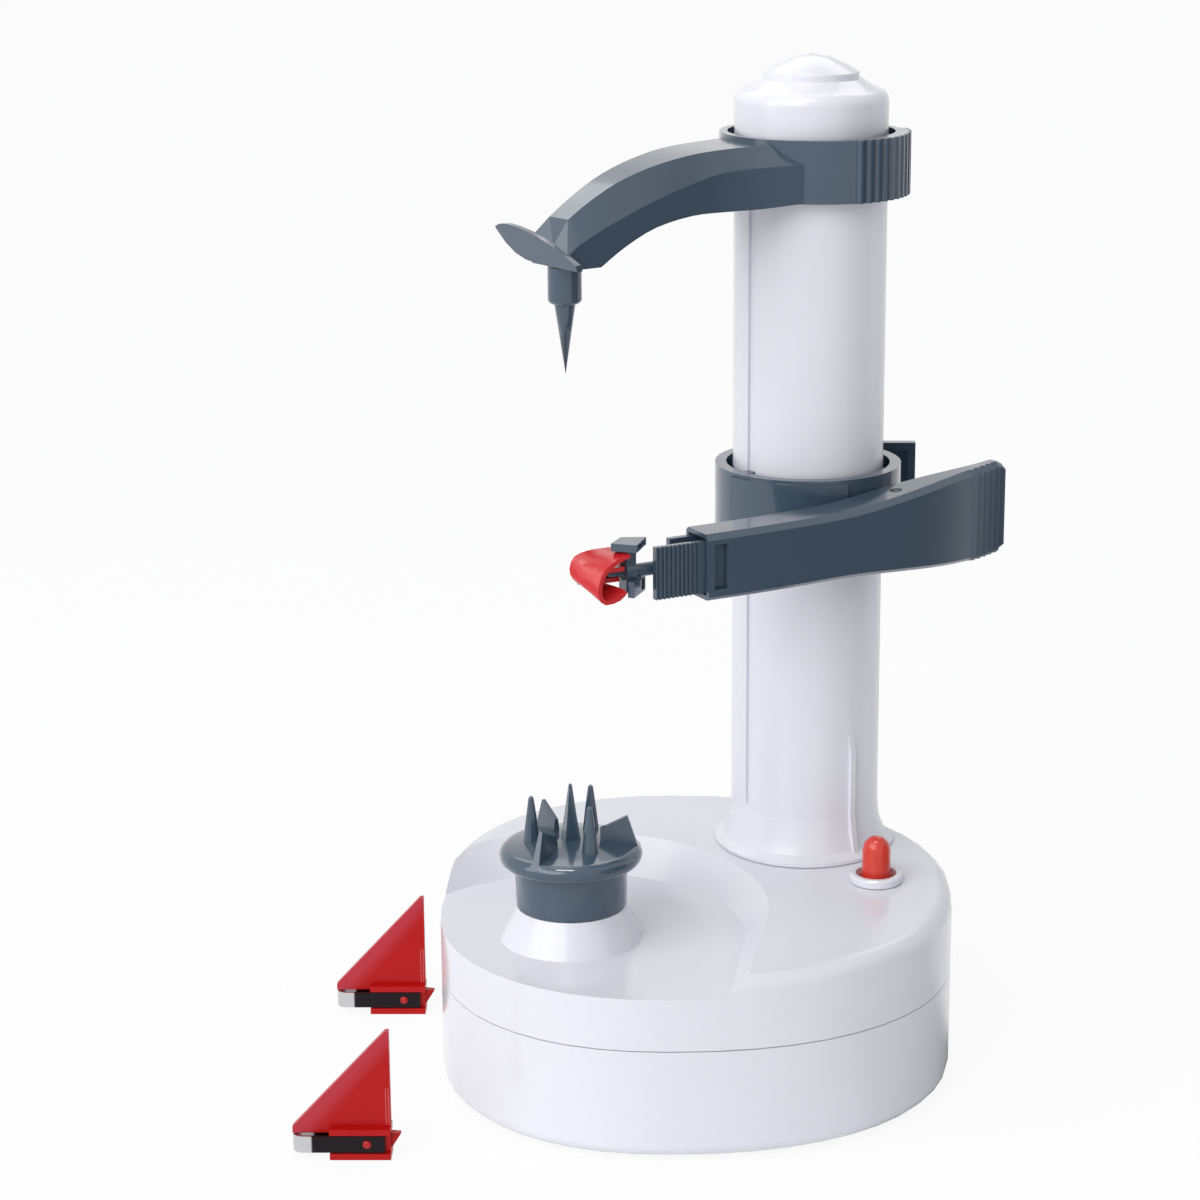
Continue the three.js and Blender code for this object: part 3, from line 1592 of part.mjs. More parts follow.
function cellPlaces() {
  const places = [];
  for (let row = 0; row < 2; row++) {
    for (let stack = 0; stack < 2; stack++) {
      const y = doorCentre.y - cellPitch / 2 + row * cellPitch;
      places.push({ y, z: cellFloor + cellRadius + stack * cellPitch, turned: (row + stack) % 2 === 1 });
    }
  }
  return places;
}

function buildCell({ y, z, turned: flipped }) {
  const body = join(
    disc(cellRadius, 0, cellLength),
    disc(cellTipRadius, cellLength - overrun, cellTipLength + overrun, coarseSteps),
  );
  const centred = moved(body, 0, 0, -(cellLength + cellTipLength) / 2);
  return moved(centred.rotateY((flipped ? -1 : 1) * (Math.PI / 2)), doorCentre.x, y, z);
}

function buildContact(side) {
  const x = doorCentre.x + side * ((cellLength + cellTipLength) / 2 + fit + contactThickness / 2);
  const height = 2 * cellPitch - cellGap - 2 * fit;
  return block(contactThickness, doorDepth - 4 * fit, height, x, doorCentre.y, cellFloor);
}

function buildCradle() {
  const height = 2 * cellPitch - cellGap + fit + cradleWall;
  const innerHeight = height - cradleWall + overrun;
  const inner = block(doorWidth, doorDepth, innerHeight, doorCentre.x, doorCentre.y, cellFloor - overrun);
  const outer = block(
    doorWidth + 2 * cradleWall,
    doorDepth + 2 * cradleWall,
    height,
    doorCentre.x,
    doorCentre.y,
    cellFloor,
  );
  return cut(outer, inner);
}

function buildBatteryDoor() {
  const half = doorThickness / 2;
  const profile = [];
  for (let i = 0; i <= edgeSteps * 2; i++) {
    const angle = Math.PI / 2 + (i / (edgeSteps * 2)) * Math.PI;
    profile.push(flat(half * Math.cos(angle), half * Math.sin(angle)));
  }
  profile.push(flat(doorDepth - half, -half));
  profile.push(flat(doorDepth - half, half));
  const plate = prism(profile, 0, doorWidth).rotateX(Math.PI / 2).rotateZ(Math.PI / 2);
  return moved(plate, doorCentre.x - doorWidth / 2, hingeLine.y, hingeLine.z);
}

const hingeLine = vector(
  doorCentre.x,
  doorCentre.y - doorDepth / 2 + doorThickness / 2,
  shellBottom + doorThickness / 2,
);

function buildJack() {
  const body = block(
    jackWidth,
    jackLength,
    jackHeight,
    jackRight,
    jackFace() - jackLength / 2,
    jackMiddleHeight - jackHeight / 2,
  );
  return cut(body, jackBore(jackBoreRadius, jackFace() - jackLength + overrun));
}

// Spare blades: they stand on their lower flange beside the base

function sparePlace(number) {
  return vector(-spareRearLeft - spareStepLeft * number, spareRearBack - spareStepFront * number, 0);
}

function buildSpareHolder(number) {
  const flangeLength = spareWidth * (spareFlangeShares.to - spareFlangeShares.from);
  const flangeMiddle = (spareWidth * (spareFlangeShares.to + spareFlangeShares.from)) / 2;
  const lower = block(flangeLength, spareDepth, spareFlange, flangeMiddle, 0, 0);
  const upper = moved(lower, 0, 0, spareFlange + spareGap);
  const plateBase = 2 * spareFlange + spareGap;
  const plate = prism(
    [
      flat(0, plateBase - spareFlange),
      flat(spareWidth, plateBase - spareFlange),
      flat(spareWidth, plateBase + spareHeight),
      flat(spareWidth * spareTopShare, plateBase + spareHeight),
      flat(0, plateBase),
    ],
    -sparePlate / 2,
    sparePlate,
  ).rotateX(Math.PI / 2);
  const core = 2 * (spareLoopRadius - spareStripThickness - fit);
  const web = block(flangeLength, core, plateBase - spareFlange, flangeMiddle, 0, spareFlange / 2);
  const lug = prism(
    [
      flat(spareWidth - fit, plateBase - spareFlange),
      flat(spareWidth * spareLugShare, plateBase - spareFlange - fit),
      flat(spareWidth - fit, spareFlange + fit),
    ],
    -sparePlate / 2,
    sparePlate,
  ).rotateX(Math.PI / 2);
  const place = sparePlace(number);
  return moved(join(lower, upper, plate, web, lug), place.x, place.y, place.z);
}

// One band bent round at its left end, with its two legs on either side of the holder
function buildSpareSteel(number) {
  const height = spareGap - 2 * fit;
  const middle = spareLoopRadius;
  const length = spareWidth * spareStripShare;
  const band = (radius) => {
    const points = [flat(length, -radius)];
    for (let i = 0; i <= coarseSteps / 2; i++) {
      points.push(polar(radius, (3 * Math.PI) / 2 - (i / coarseSteps) * fullTurn).add(flat(middle, 0)));
    }
    points.push(flat(length, radius));
    return points;
  };
  const inner = band(spareLoopRadius - spareStripThickness).reverse();
  const strip = prism([...band(spareLoopRadius), ...inner], spareFlange + fit, height);
  const place = sparePlace(number);
  return moved(strip, place.x, place.y, place.z);
}

// Assembly

const peeler = new THREE.Group();

function addPiece(name, geometry, finish) {
  const mesh = new THREE.Mesh(geometry, new THREE.MeshStandardMaterial(finish));
  mesh.name = name;
  peeler.add(mesh);
}

addPiece('lower_housing', buildLowerHousing(), white);
addPiece('upper_housing', buildUpperHousing(), white);
footPlaces().forEach((place, i) => addPiece(`foot_${i + 1}`, at(buildFoot(), place), rubber));
screwPosts.forEach((place, i) => addPiece(`housing_screw_${i + 1}`, at(buildFixing(), place), steel));
addPiece('button_ring', buildButtonRing(), white);
addPiece('start_button', buildStartButton(), red);
addPiece('button_spring', buildButtonSpring(), steel);
addPiece('start_switch', buildStartSwitch(), dark);
addPiece('adaptor_jack', buildJack(), dark);
addPiece('battery_cradle', buildCradle(), dark);
cellPlaces().forEach((place, i) => addPiece(`battery_cell_${i + 1}`, buildCell(place), cellSkin));
addPiece('contact_plate_left', buildContact(-1), steel);
addPiece('contact_plate_right', buildContact(1), steel);
addPiece('battery_door', buildBatteryDoor(), white);
addPiece('gear_plate', buildGearPlate(), dark);
addPiece('motor', buildMotor(), steel);
addPiece('motor_pinion', buildMotorPinion(), brass);
addPiece('idler_shaft', buildIdlerShaft(), steel);
addPiece('idler_gear', buildIdlerGear(), nylon);
addPiece('turntable_bush', buildTurntableBush(), brass);
addPiece('turntable_shaft', buildTurntableShaft(), steel);
addPiece('turntable_gear', buildTurntableGear(), nylon);
addPiece('turntable_cup', buildTurntableCup(), slate);
addPiece('lead_screw', buildLeadScrew(), steel);
addPiece('screw_gear', buildScrewGear(), nylon);
addPiece('screw_top_bearing', buildTopBearing(), nylon);
addPiece('column_tube', buildColumnTube(), white);
addPiece('column_cap', buildColumnCap(), white);
addPiece('upper_arm', buildUpperArm(), slate);
addPiece('holding_spike', buildHoldingSpike(), slate);
addPiece('carriage_ring', buildCarriageRing(), slate);
addPiece('screw_follower', buildScrewFollower(), nylon);
addPiece('pivot_pin', buildPivotPin(), steel);
addPiece('lever_spring', buildLeverSpring(), steel);
addPiece('peeling_lever', buildPeelingLever(), slate);
addPiece('front_jaw', buildFrontJaw(), slate);
addPiece('rear_jaw', buildRearJaw(), slate);
addPiece('blade_rod', buildBladeRod(), slate);
addPiece('blade_guide', buildBladeGuide(), slate);
addPiece('blade_holder', buildBladeHolder(), red);
addPiece('blade_steel', buildBladeSteel(), steel);
[0, 1].forEach((number) => {
  addPiece(`spare_blade_holder_${number + 1}`, buildSpareHolder(number), red);
  addPiece(`spare_blade_steel_${number + 1}`, buildSpareSteel(number), steel);
});

const box = new THREE.Box3().setFromObject(peeler);
const middle = box.getCenter(new THREE.Vector3());
peeler.position.set(-middle.x, -middle.y, -box.min.z);
peeler.updateMatrixWorld(true);

const group = new THREE.Group();
group.add(peeler);

export default group;
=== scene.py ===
import math

import bmesh
import bpy
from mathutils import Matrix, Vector


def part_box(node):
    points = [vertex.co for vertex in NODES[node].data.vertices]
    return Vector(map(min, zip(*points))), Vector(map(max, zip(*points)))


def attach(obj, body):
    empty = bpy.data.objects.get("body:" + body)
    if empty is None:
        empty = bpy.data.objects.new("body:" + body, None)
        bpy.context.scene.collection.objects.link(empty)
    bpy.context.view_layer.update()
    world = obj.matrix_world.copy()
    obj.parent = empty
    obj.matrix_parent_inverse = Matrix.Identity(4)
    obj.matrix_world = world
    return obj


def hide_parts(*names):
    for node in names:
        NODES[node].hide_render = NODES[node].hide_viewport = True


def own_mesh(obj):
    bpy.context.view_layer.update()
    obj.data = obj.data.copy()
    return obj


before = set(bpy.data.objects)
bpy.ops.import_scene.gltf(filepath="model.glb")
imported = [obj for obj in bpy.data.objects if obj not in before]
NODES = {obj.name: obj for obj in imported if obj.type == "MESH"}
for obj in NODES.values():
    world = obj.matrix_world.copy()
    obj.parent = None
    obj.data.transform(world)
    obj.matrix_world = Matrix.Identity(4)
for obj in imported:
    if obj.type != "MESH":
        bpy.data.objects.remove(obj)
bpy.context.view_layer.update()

MM = 0.001

RIGHT = (1, 0, 0)
FRONT = (0, -1, 0)
BACK = (0, 1, 0)
UP = (0, 0, 1)

SPARE_NUMBERS = range(1, 3)
FOUR_NUMBERS = range(1, 5)


# Colours as the photograph shows them, as sRGB shares

WHITE_SRGB = (0.895, 0.895, 0.925)
SLATE_SRGB = (0.25, 0.318, 0.382)
RED_SRGB = (0.80, 0.13, 0.15)
SPARE_RED_SRGB = (0.70, 0.03, 0.03)
# Painted highlight of the spare plates' folded edge
FOLD_HIGHLIGHT_SRGB = (0.72, 0.20, 0.25)
# Painted highlight: the teeth are pale pink for the light on their tips
TOOTH_HIGHLIGHT_SRGB = (0.90, 0.55, 0.55)
BUTTON_SRGB = (0.86, 0.24, 0.18)
STEEL_SRGB = (0.80, 0.80, 0.81)
# Dark steel: the pivot pin's own colour, and on the spare blades a painted dark reflection along the
# strip
DARK_STEEL_AND_REFLECTION_SRGB = (0.17, 0.15, 0.16)
BRASS_SRGB = (0.76, 0.62, 0.38)
NYLON_SRGB = (0.90, 0.89, 0.84)
RUBBER_SRGB = (0.17, 0.17, 0.18)
DARK_SRGB = (0.15, 0.155, 0.165)
CELL_SRGB = (0.72, 0.52, 0.25)
FLOOR_SRGB = (0.97, 0.97, 0.975)

# The sRGB curve: a straight part below the knee and a power above it
SRGB_KNEE = 0.04045
SRGB_SLOPE = 12.92
SRGB_LIFT = 0.055
SRGB_POWER = 2.4


def linear_channel(value):
    """Scene value of one sRGB channel."""
    if value <= SRGB_KNEE:
        return value / SRGB_SLOPE
    return ((value + SRGB_LIFT) / (1 + SRGB_LIFT)) ** SRGB_POWER


def linear(srgb):
    """Scene colour of an sRGB triple."""
    return tuple(linear_channel(value) for value in srgb) + (1.0,)


def shaded(srgb, shade_share):
    """A darker tone of an sRGB triple."""
    return tuple(value * shade_share for value in srgb)


# Materials

# Octaves of a noise, from a slow swell to a fine grain
SWELL = 1.0
DRIFT = 2.0
MOTTLE = 3.0
GRAIN = 4.0

# Nearly all values of a noise lie between these two
NOISE_LOW = 0.3
NOISE_HIGH = 0.7


class Surface:
    """A node tree round one Principled shader, with noise in object space."""

    def __init__(self, name, srgb, roughness, metallic=0.0):
        self.material = bpy.data.materials.new(name)
        self.material.use_nodes = True
        self.nodes = self.material.node_tree.nodes
        self.links = self.material.node_tree.links
        self.shader = self.nodes["Principled BSDF"]
        self.colour = linear(srgb)
        self.roughness = roughness
        self.set(Base_Color=self.colour, Roughness=roughness, Metallic=metallic)
        self.place = self.nodes.new("ShaderNodeTexCoord").outputs["Object"]

    def set(self, **values):
        """Sets the shader's own sockets by name, with an underscore for each space."""
        for key, value in values.items():
            self.shader.inputs[key.replace("_", " ")].default_value = value

    def stretched(self, scale):
        """The place in object space, scaled along each axis."""
        mapping = self.nodes.new("ShaderNodeMapping")
        mapping.inputs["Scale"].default_value = scale
        self.links.new(self.place, mapping.inputs["Vector"])
        return mapping.outputs["Vector"]

    def noise(self, size, detail=MOTTLE, stretch=None):
        """Noise whose features are about size metres across."""
        node = self.nodes.new("ShaderNodeTexNoise")
        node.inputs["Scale"].default_value = 1.0 / size
        node.inputs["Detail"].default_value = detail
        self.links.new(self.stretched(stretch) if stretch else self.place, node.inputs["Vector"])
        return node.outputs["Fac"]

    def ranged(self, value, low, high, from_low=NOISE_LOW, from_high=NOISE_HIGH):
        """The value taken from one range to another and held at its ends."""
        node = self.nodes.new("ShaderNodeMapRange")
        node.inputs["From Min"].default_value = from_low
        node.inputs["From Max"].default_value = from_high
        node.inputs["To Min"].default_value = low
        node.inputs["To Max"].default_value = high
        self.links.new(value, node.inputs["Value"])
        return node.outputs["Result"]

    def along(self, start, way, low, high):
        """Zero before low and one beyond high, measured in metres from a start along a way."""
        moved = self.nodes.new("ShaderNodeVectorMath")
        moved.operation = "SUBTRACT"
        moved.inputs[1].default_value = start
        self.links.new(self.place, moved.inputs[0])
        reach = reach_along(self.nodes, self.links, moved.outputs["Vector"], way)
        return self.ranged(reach, 0.0, 1.0, low, high)

    def tint(self, value, other_srgb):
        """Colour between the base and another by value."""
        mix = self.nodes.new("ShaderNodeMix")
        mix.data_type = "RGBA"
        mix.inputs["A"].default_value = self.colour
        mix.inputs["B"].default_value = linear(other_srgb)
        self.links.new(value, mix.inputs["Factor"])
        self.links.new(mix.outputs["Result"], self.shader.inputs["Base Color"])

    def mottled(self, size, detail, other_srgb):
        """Colour that drifts between the base and another."""
        self.tint(self.ranged(self.noise(size, detail), 0.0, 1.0), other_srgb)

    def uneven(self, size, spread, detail=MOTTLE, stretch=None):
        """Roughness that drifts by spread either way."""
        noise = self.noise(size, detail, stretch)
        value = self.ranged(noise, self.roughness - spread, self.roughness + spread)
        self.links.new(value, self.shader.inputs["Roughness"])

    def bumpy(self, depth, size, detail=MOTTLE, stretch=None):
        """Relief of a depth in metres, with features about size metres across."""
        node = self.nodes.new("ShaderNodeBump")
        node.inputs["Distance"].default_value = depth
        self.links.new(self.noise(size, detail, stretch), node.inputs["Height"])
        self.links.new(node.outputs["Normal"], self.shader.inputs["Normal"])


def reach_along(nodes, links, vector, way):
    """How far a vector reaches along a way."""
    node = nodes.new("ShaderNodeVectorMath")
    node.operation = "DOT_PRODUCT"
    node.inputs[1].default_value = way
    links.new(vector, node.inputs[0])
    return node.outputs["Value"]


PLASTIC_IOR = 1.49
COAT_ROUGHNESS = 0.07
TONE_SIZE = 60 * MM
HANDLING_SIZE = 9 * MM
PEEL_SIZE = 4.5 * MM
PEEL_DEPTH = 0.004 * MM
HANDLING_SPREAD = 0.02


def moulded(
    name,
    srgb,
    roughness,
    shade_share,
    peel_depth=PEEL_DEPTH,
    handling_spread=HANDLING_SPREAD,
    drawn=None,
    coat=0.0,
):
    """Injection-moulded gloss plastic: slow drift in tone, faint orange peel and light handling marks."""
    surface = Surface(name, srgb, roughness)
    surface.set(IOR=PLASTIC_IOR, Coat_Weight=coat, Coat_Roughness=COAT_ROUGHNESS)
    surface.mottled(TONE_SIZE, DRIFT, shaded(srgb, shade_share))
    surface.uneven(HANDLING_SIZE, handling_spread, GRAIN)
    surface.bumpy(peel_depth, PEEL_SIZE, SWELL, drawn)
    return surface.material


BRUSH_SIZE = 0.5 * MM
BRUSH_DEPTH = 0.02 * MM
BRUSH_SPREAD = 0.08
METAL_TONE_SIZE = 8 * MM
METAL_SHADE_SHARE = 0.86


def brushed(name, srgb, roughness, stretch):
    """Bare metal with fine marks drawn out along the axes that the stretch shrinks."""
    surface = Surface(name, srgb, roughness, metallic=1.0)
    surface.uneven(BRUSH_SIZE, BRUSH_SPREAD, GRAIN, stretch)
    surface.bumpy(BRUSH_DEPTH, BRUSH_SIZE, GRAIN, stretch)
    surface.mottled(METAL_TONE_SIZE, MOTTLE, shaded(srgb, METAL_SHADE_SHARE))
    return surface.material


MATT_TONE_SIZE = 12 * MM
MATT_SHADE_SHARE = 0.9
MATT_PATCH_SIZE = 3 * MM
MATT_SPREAD = 0.05


def matt(name, srgb, roughness, grain_size, grain_depth):
    """Rubber, nylon or plain inner plastic with a fine grain."""
    surface = Surface(name, srgb, roughness)
    surface.mottled(MATT_TONE_SIZE, GRAIN, shaded(srgb, MATT_SHADE_SHARE))
    surface.uneven(MATT_PATCH_SIZE, MATT_SPREAD)
    surface.bumpy(grain_depth, grain_size)
    return surface.material


FILM_ROUGHNESS = 0.32
FILM_METALLIC = 0.5
FILM_PATCH_SIZE = 5 * MM
FILM_SPREAD = 0.06
FILM_WAVE_SIZE = 2 * MM
FILM_WAVE_DEPTH = 0.02 * MM
BAND_SHARE = 0.3
BAND_BLUR = 0.4 * MM


def cell_skin():
    """Shrink film in one tone with a plain dark band at one end."""
    surface = Surface("cell film", CELL_SRGB, FILM_ROUGHNESS, FILM_METALLIC)
    low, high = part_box("battery_cell_1")
    edge = (high.x - low.x) * BAND_SHARE
    surface.tint(surface.along(tuple(low), RIGHT, edge, edge + BAND_BLUR), DARK_SRGB)
    surface.uneven(FILM_PATCH_SIZE, FILM_SPREAD)
    surface.bumpy(FILM_WAVE_DEPTH, FILM_WAVE_SIZE)
    return surface.material


SAIL_ROUGHNESS = 0.34
SAIL_GLOSS = 0.25
SAIL_PATCH_SIZE = 6 * MM
SAIL_SPREAD = 0.04
SAIL_PEEL_SIZE = 4 * MM
SAIL_PEEL_DEPTH = 0.006 * MM
# Painted highlight: a paler band down the plate's sloping edge, where its fold would catch the light; the
# mesh has no fold
FOLD_HIGHLIGHT_WIDTH = 1.2 * MM
FOLD_HIGHLIGHT_BLUR = 4 * MM


def sail_red(number):
    """Spare holder: deep red, with a painted highlight of the fold down its sloping edge."""
    surface = Surface(f"spare red plastic {number}", SPARE_RED_SRGB, SAIL_ROUGHNESS)
    surface.set(Specular_IOR_Level=SAIL_GLOSS)
    points = [vertex.co for vertex in NODES[f"spare_blade_holder_{number}"].data.vertices]
    top = max(points, key=lambda point: point.z)
    foot = min(points, key=lambda point: point.x)
    slope = (top - foot).normalized()
    inward = Vector((slope.z, 0, -slope.x))
    # Painted highlight: the paler band stands in for light on the plate's fold
    surface.tint(surface.along(foot, inward, FOLD_HIGHLIGHT_WIDTH + FOLD_HIGHLIGHT_BLUR, FOLD_HIGHLIGHT_WIDTH), FOLD_HIGHLIGHT_SRGB)
    surface.uneven(SAIL_PATCH_SIZE, SAIL_SPREAD)
    surface.bumpy(SAIL_PEEL_DEPTH, SAIL_PEEL_SIZE, SWELL)
    return surface.material


# Stretches of the fine marks on metal and of the orange peel on the column, as shares along each axis
DRAWN_UP = (1.0, 1.0, 0.05)
DRAWN_LEVEL = (0.05, 0.05, 1.0)
DRAWN_ALONG = (0.05, 1.0, 1.0)
TURNED_UP = (1.0, 1.0, 0.1)
COLUMN_DRAWN = (1.0, 1.0, 0.02)

STRIP_ROUGHNESS = 0.2
STRIP_SPREAD = 0.06
STRIP_DEPTH = 0.01 * MM
# Share of the blade's length left plain steel round the loop, and the blur where the painted dark
# reflection along the strip begins
PLAIN_LOOP_SHARE = 0.2
PAINTED_REFLECTION_BLUR_SHARE = 0.02


def strip_steel(number):
    """Spare blade: plain steel round its loop, with a painted dark reflection along the strip."""
    surface = Surface(f"spare blade steel {number}", STEEL_SRGB, STRIP_ROUGHNESS, metallic=1.0)
    low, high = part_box(f"spare_blade_steel_{number}")
    length = high.x - low.x
    edge = length * PLAIN_LOOP_SHARE
    # Painted reflection: the steel itself is plain, and the strip beyond the loop is tinted dark to stand
    # in for the dark room it reflects
    painted_reflection = surface.along(tuple(low), RIGHT, edge, edge + length * PAINTED_REFLECTION_BLUR_SHARE)
    surface.tint(painted_reflection, DARK_STEEL_AND_REFLECTION_SRGB)
    surface.uneven(BRUSH_SIZE, STRIP_SPREAD, GRAIN, DRAWN_ALONG)
    surface.bumpy(STRIP_DEPTH, BRUSH_SIZE, GRAIN, DRAWN_ALONG)
    return surface.material


WHITE = moulded("white plastic", WHITE_SRGB, roughness=0.17, shade_share=0.985)
COLUMN_WHITE = moulded(
    "column plastic",
    WHITE_SRGB,
    roughness=0.24,
    shade_share=0.985,
    peel_depth=0.003 * MM,
    drawn=COLUMN_DRAWN,
)
SLATE = moulded(
    "slate plastic",
    SLATE_SRGB,
    roughness=0.17,
    shade_share=0.95,
    peel_depth=0.006 * MM,
    handling_spread=0.03,
    coat=0.4,
)
RED = moulded("red plastic", RED_SRGB, roughness=0.24, shade_share=0.93)
SPARE_RED = moulded(
    "spare red plastic",
    SPARE_RED_SRGB,
    roughness=0.3,
    shade_share=0.9,
    peel_depth=0.008 * MM,
)
BUTTON = moulded("button plastic", BUTTON_SRGB, roughness=0.13, shade_share=0.95)
# Painted highlight: pale pink for the light caught on the teeth of the spare plates
TOOTH_HIGHLIGHT_RED = moulded("tooth highlight plastic", TOOTH_HIGHLIGHT_SRGB, roughness=0.3, shade_share=0.95)
STEEL = brushed("brushed steel", STEEL_SRGB, roughness=0.26, stretch=DRAWN_UP)
BLADE = brushed("blade steel", STEEL_SRGB, roughness=0.16, stretch=DRAWN_LEVEL)
BLACK_STEEL = brushed("blued steel", DARK_STEEL_AND_REFLECTION_SRGB, roughness=0.3, stretch=DRAWN_UP)
BRASS = brushed("turned brass", BRASS_SRGB, roughness=0.3, stretch=TURNED_UP)
NYLON = matt("natural nylon", NYLON_SRGB, roughness=0.45, grain_size=0.8 * MM, grain_depth=0.02 * MM)
RUBBER = matt("foot rubber", RUBBER_SRGB, roughness=0.8, grain_size=0.5 * MM, grain_depth=0.06 * MM)
DARK = matt("dark plastic", DARK_SRGB, roughness=0.45, grain_size=0.6 * MM, grain_depth=0.03 * MM)
CELL = cell_skin()


# CAD nodes: the finish of each and the width of its edge rounding

SHARP = 0.0
SHEET_EDGE = 0.1 * MM
FINE_EDGE = 0.15 * MM
SMALL_EDGE = 0.2 * MM
SPIKE_EDGE = 0.25 * MM
PLASTIC_EDGE = 0.3 * MM
RING_EDGE = 0.35 * MM
CAP_EDGE = 0.4 * MM
HOUSING_EDGE = 0.5 * MM

FINISHES = {
    "lower_housing": (WHITE, HOUSING_EDGE),
    "upper_housing": (WHITE, HOUSING_EDGE),
    "button_ring": (WHITE, RING_EDGE),
    "battery_door": (WHITE, SMALL_EDGE),
    "column_tube": (COLUMN_WHITE, PLASTIC_EDGE),
    "column_cap": (WHITE, CAP_EDGE),
    "start_button": (BUTTON, PLASTIC_EDGE),
    "turntable_cup": (SLATE, PLASTIC_EDGE),
    "upper_arm": (SLATE, RING_EDGE),
    "holding_spike": (SLATE, SPIKE_EDGE),
    "carriage_ring": (SLATE, RING_EDGE),
    "peeling_lever": (SLATE, PLASTIC_EDGE),
    "front_jaw": (SLATE, FINE_EDGE),
    "rear_jaw": (SLATE, SMALL_EDGE),
    "blade_rod": (SLATE, FINE_EDGE),
    "blade_guide": (SLATE, FINE_EDGE),
    "blade_holder": (RED, FINE_EDGE),
    "blade_steel": (BLADE, SHARP),
    "screw_follower": (NYLON, SMALL_EDGE),
    "idler_gear": (NYLON, SHARP),
    "turntable_gear": (NYLON, SHARP),
    "screw_gear": (NYLON, SHARP),
    "screw_top_bearing": (NYLON, SMALL_EDGE),
    "turntable_bush": (BRASS, SHEET_EDGE),
    "motor_pinion": (BRASS, SHARP),
    "start_switch": (DARK, PLASTIC_EDGE),
    "adaptor_jack": (DARK, PLASTIC_EDGE),
    "battery_cradle": (DARK, SMALL_EDGE),
    "gear_plate": (DARK, PLASTIC_EDGE),
    "motor": (STEEL, HOUSING_EDGE),
    "idler_shaft": (STEEL, SMALL_EDGE),
    "turntable_shaft": (STEEL, SMALL_EDGE),
    "lead_screw": (STEEL, SHARP),
    "pivot_pin": (BLACK_STEEL, FINE_EDGE),
    "button_spring": (STEEL, SHARP),
    "lever_spring": (STEEL, SHARP),
    "contact_plate_left": (STEEL, SHEET_EDGE),
    "contact_plate_right": (STEEL, SHEET_EDGE),
}
for number in SPARE_NUMBERS:
    FINISHES[f"spare_blade_holder_{number}"] = (sail_red(number), FINE_EDGE)
    FINISHES[f"spare_blade_steel_{number}"] = (strip_steel(number), SHARP)
for number in FOUR_NUMBERS:
    FINISHES[f"foot_{number}"] = (RUBBER, FINE_EDGE)
    FINISHES[f"housing_screw_{number}"] = (STEEL, FINE_EDGE)
    FINISHES[f"battery_cell_{number}"] = (CELL, CAP_EDGE)

# Angles in degrees. The arm's facets meet at small angles that still show as edges.
CREASE = 32
ARM_CREASE = 15
ROUND_CREASE = 50
TOOTH_CREASE = 20
FLAT_ANGLE = 0.6

WELD_GAP = 0.002 * MM
EDGE_SEGMENTS = 2


def smooth(mesh):
    """Shades every face smooth."""
    for polygon in mesh.polygons:
        polygon.use_smooth = True


def split_creases(obj, crease):
    """Keeps edges sharper than the crease sharp under smooth shading."""
    split = obj.modifiers.new("creases", "EDGE_SPLIT")
    split.split_angle = math.radians(crease)


def rounded(obj, width, crease):
    """Joins the faces of a faceted solid into whole ones, rounds its edges and shades it smooth."""
    mesh = obj.data
    if "custom_normal" in mesh.attributes:
        mesh.attributes.remove(mesh.attributes["custom_normal"])
    smooth(mesh)
    weld = obj.modifiers.new("weld", "WELD")
    weld.merge_threshold = WELD_GAP
    whole = obj.modifiers.new("whole faces", "DECIMATE")
    whole.decimate_type = "DISSOLVE"
    whole.angle_limit = math.radians(FLAT_ANGLE)
    if width > SHARP:
        bevel = obj.modifiers.new("edges", "BEVEL")
        bevel.width = width
        bevel.segments = EDGE_SEGMENTS
        bevel.limit_method = "ANGLE"
        bevel.angle_limit = math.radians(crease)
        bevel.use_clamp_overlap = True
        bevel.miter_outer = "MITER_ARC"
    split_creases(obj, crease)
    normals = obj.modifiers.new("normals", "WEIGHTED_NORMAL")
    normals.keep_sharp = True


for name, (finish, width) in FINISHES.items():
    node = NODES[name]
    node.data.materials.clear()
    node.data.materials.append(finish)
    rounded(node, width, ARM_CREASE if name == "upper_arm" else CREASE)


# Pieces made here

ROUND_STEPS = 24


def place_mesh(mesh, material, body, crease=CREASE):
    """Makes a mesh a piece that rides on a body."""
    mesh.materials.append(material)
    smooth(mesh)
    piece = bpy.data.objects.new(mesh.name, mesh)
    bpy.context.collection.objects.link(piece)
    split_creases(piece, crease)
    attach(piece, body)
    return piece


def mesh_piece(name, points, faces, material, body, crease=CREASE):
    """A piece made of points and faces."""
    mesh = bpy.data.meshes.new(name)
    mesh.from_pydata([tuple(point) for point in points], [], faces)
    return place_mesh(mesh, material, body, crease)


def circle(radius, steps):
    """Points round a circle, as pairs."""
    turns = [math.tau * i / steps for i in range(steps)]
    return [(radius * math.cos(turn), radius * math.sin(turn)) for turn in turns]


def ring_faces(rows, steps, closed=False):
    """Faces of a skin over rows of points. Its two ends are filled, or joined where it is closed."""
    faces = []
    for row in range(rows if closed else rows - 1):
        above = (row + 1) % rows
        for i in range(steps):
            j = (i + 1) % steps
            faces.append((row * steps + i, row * steps + j, above * steps + j, above * steps + i))
    if not closed:
        faces.append(tuple(reversed(range(steps))))
        faces.append(tuple(range((rows - 1) * steps, rows * steps)))
    return faces


def revolved(name, profile, place, axis, material, closed=False, steps=ROUND_STEPS):
    """A turned solid on the base. Each row of the profile is the way along the axis and the radius."""
    turn = Vector(axis).to_track_quat("Z", "Y")
    points = []
    for height, radius in profile:
        for x, y in circle(radius, steps):
            points.append(Vector(place) + turn @ Vector((x, y, height)))
    mesh_piece(name, points, ring_faces(len(profile), steps, closed), material, "base")


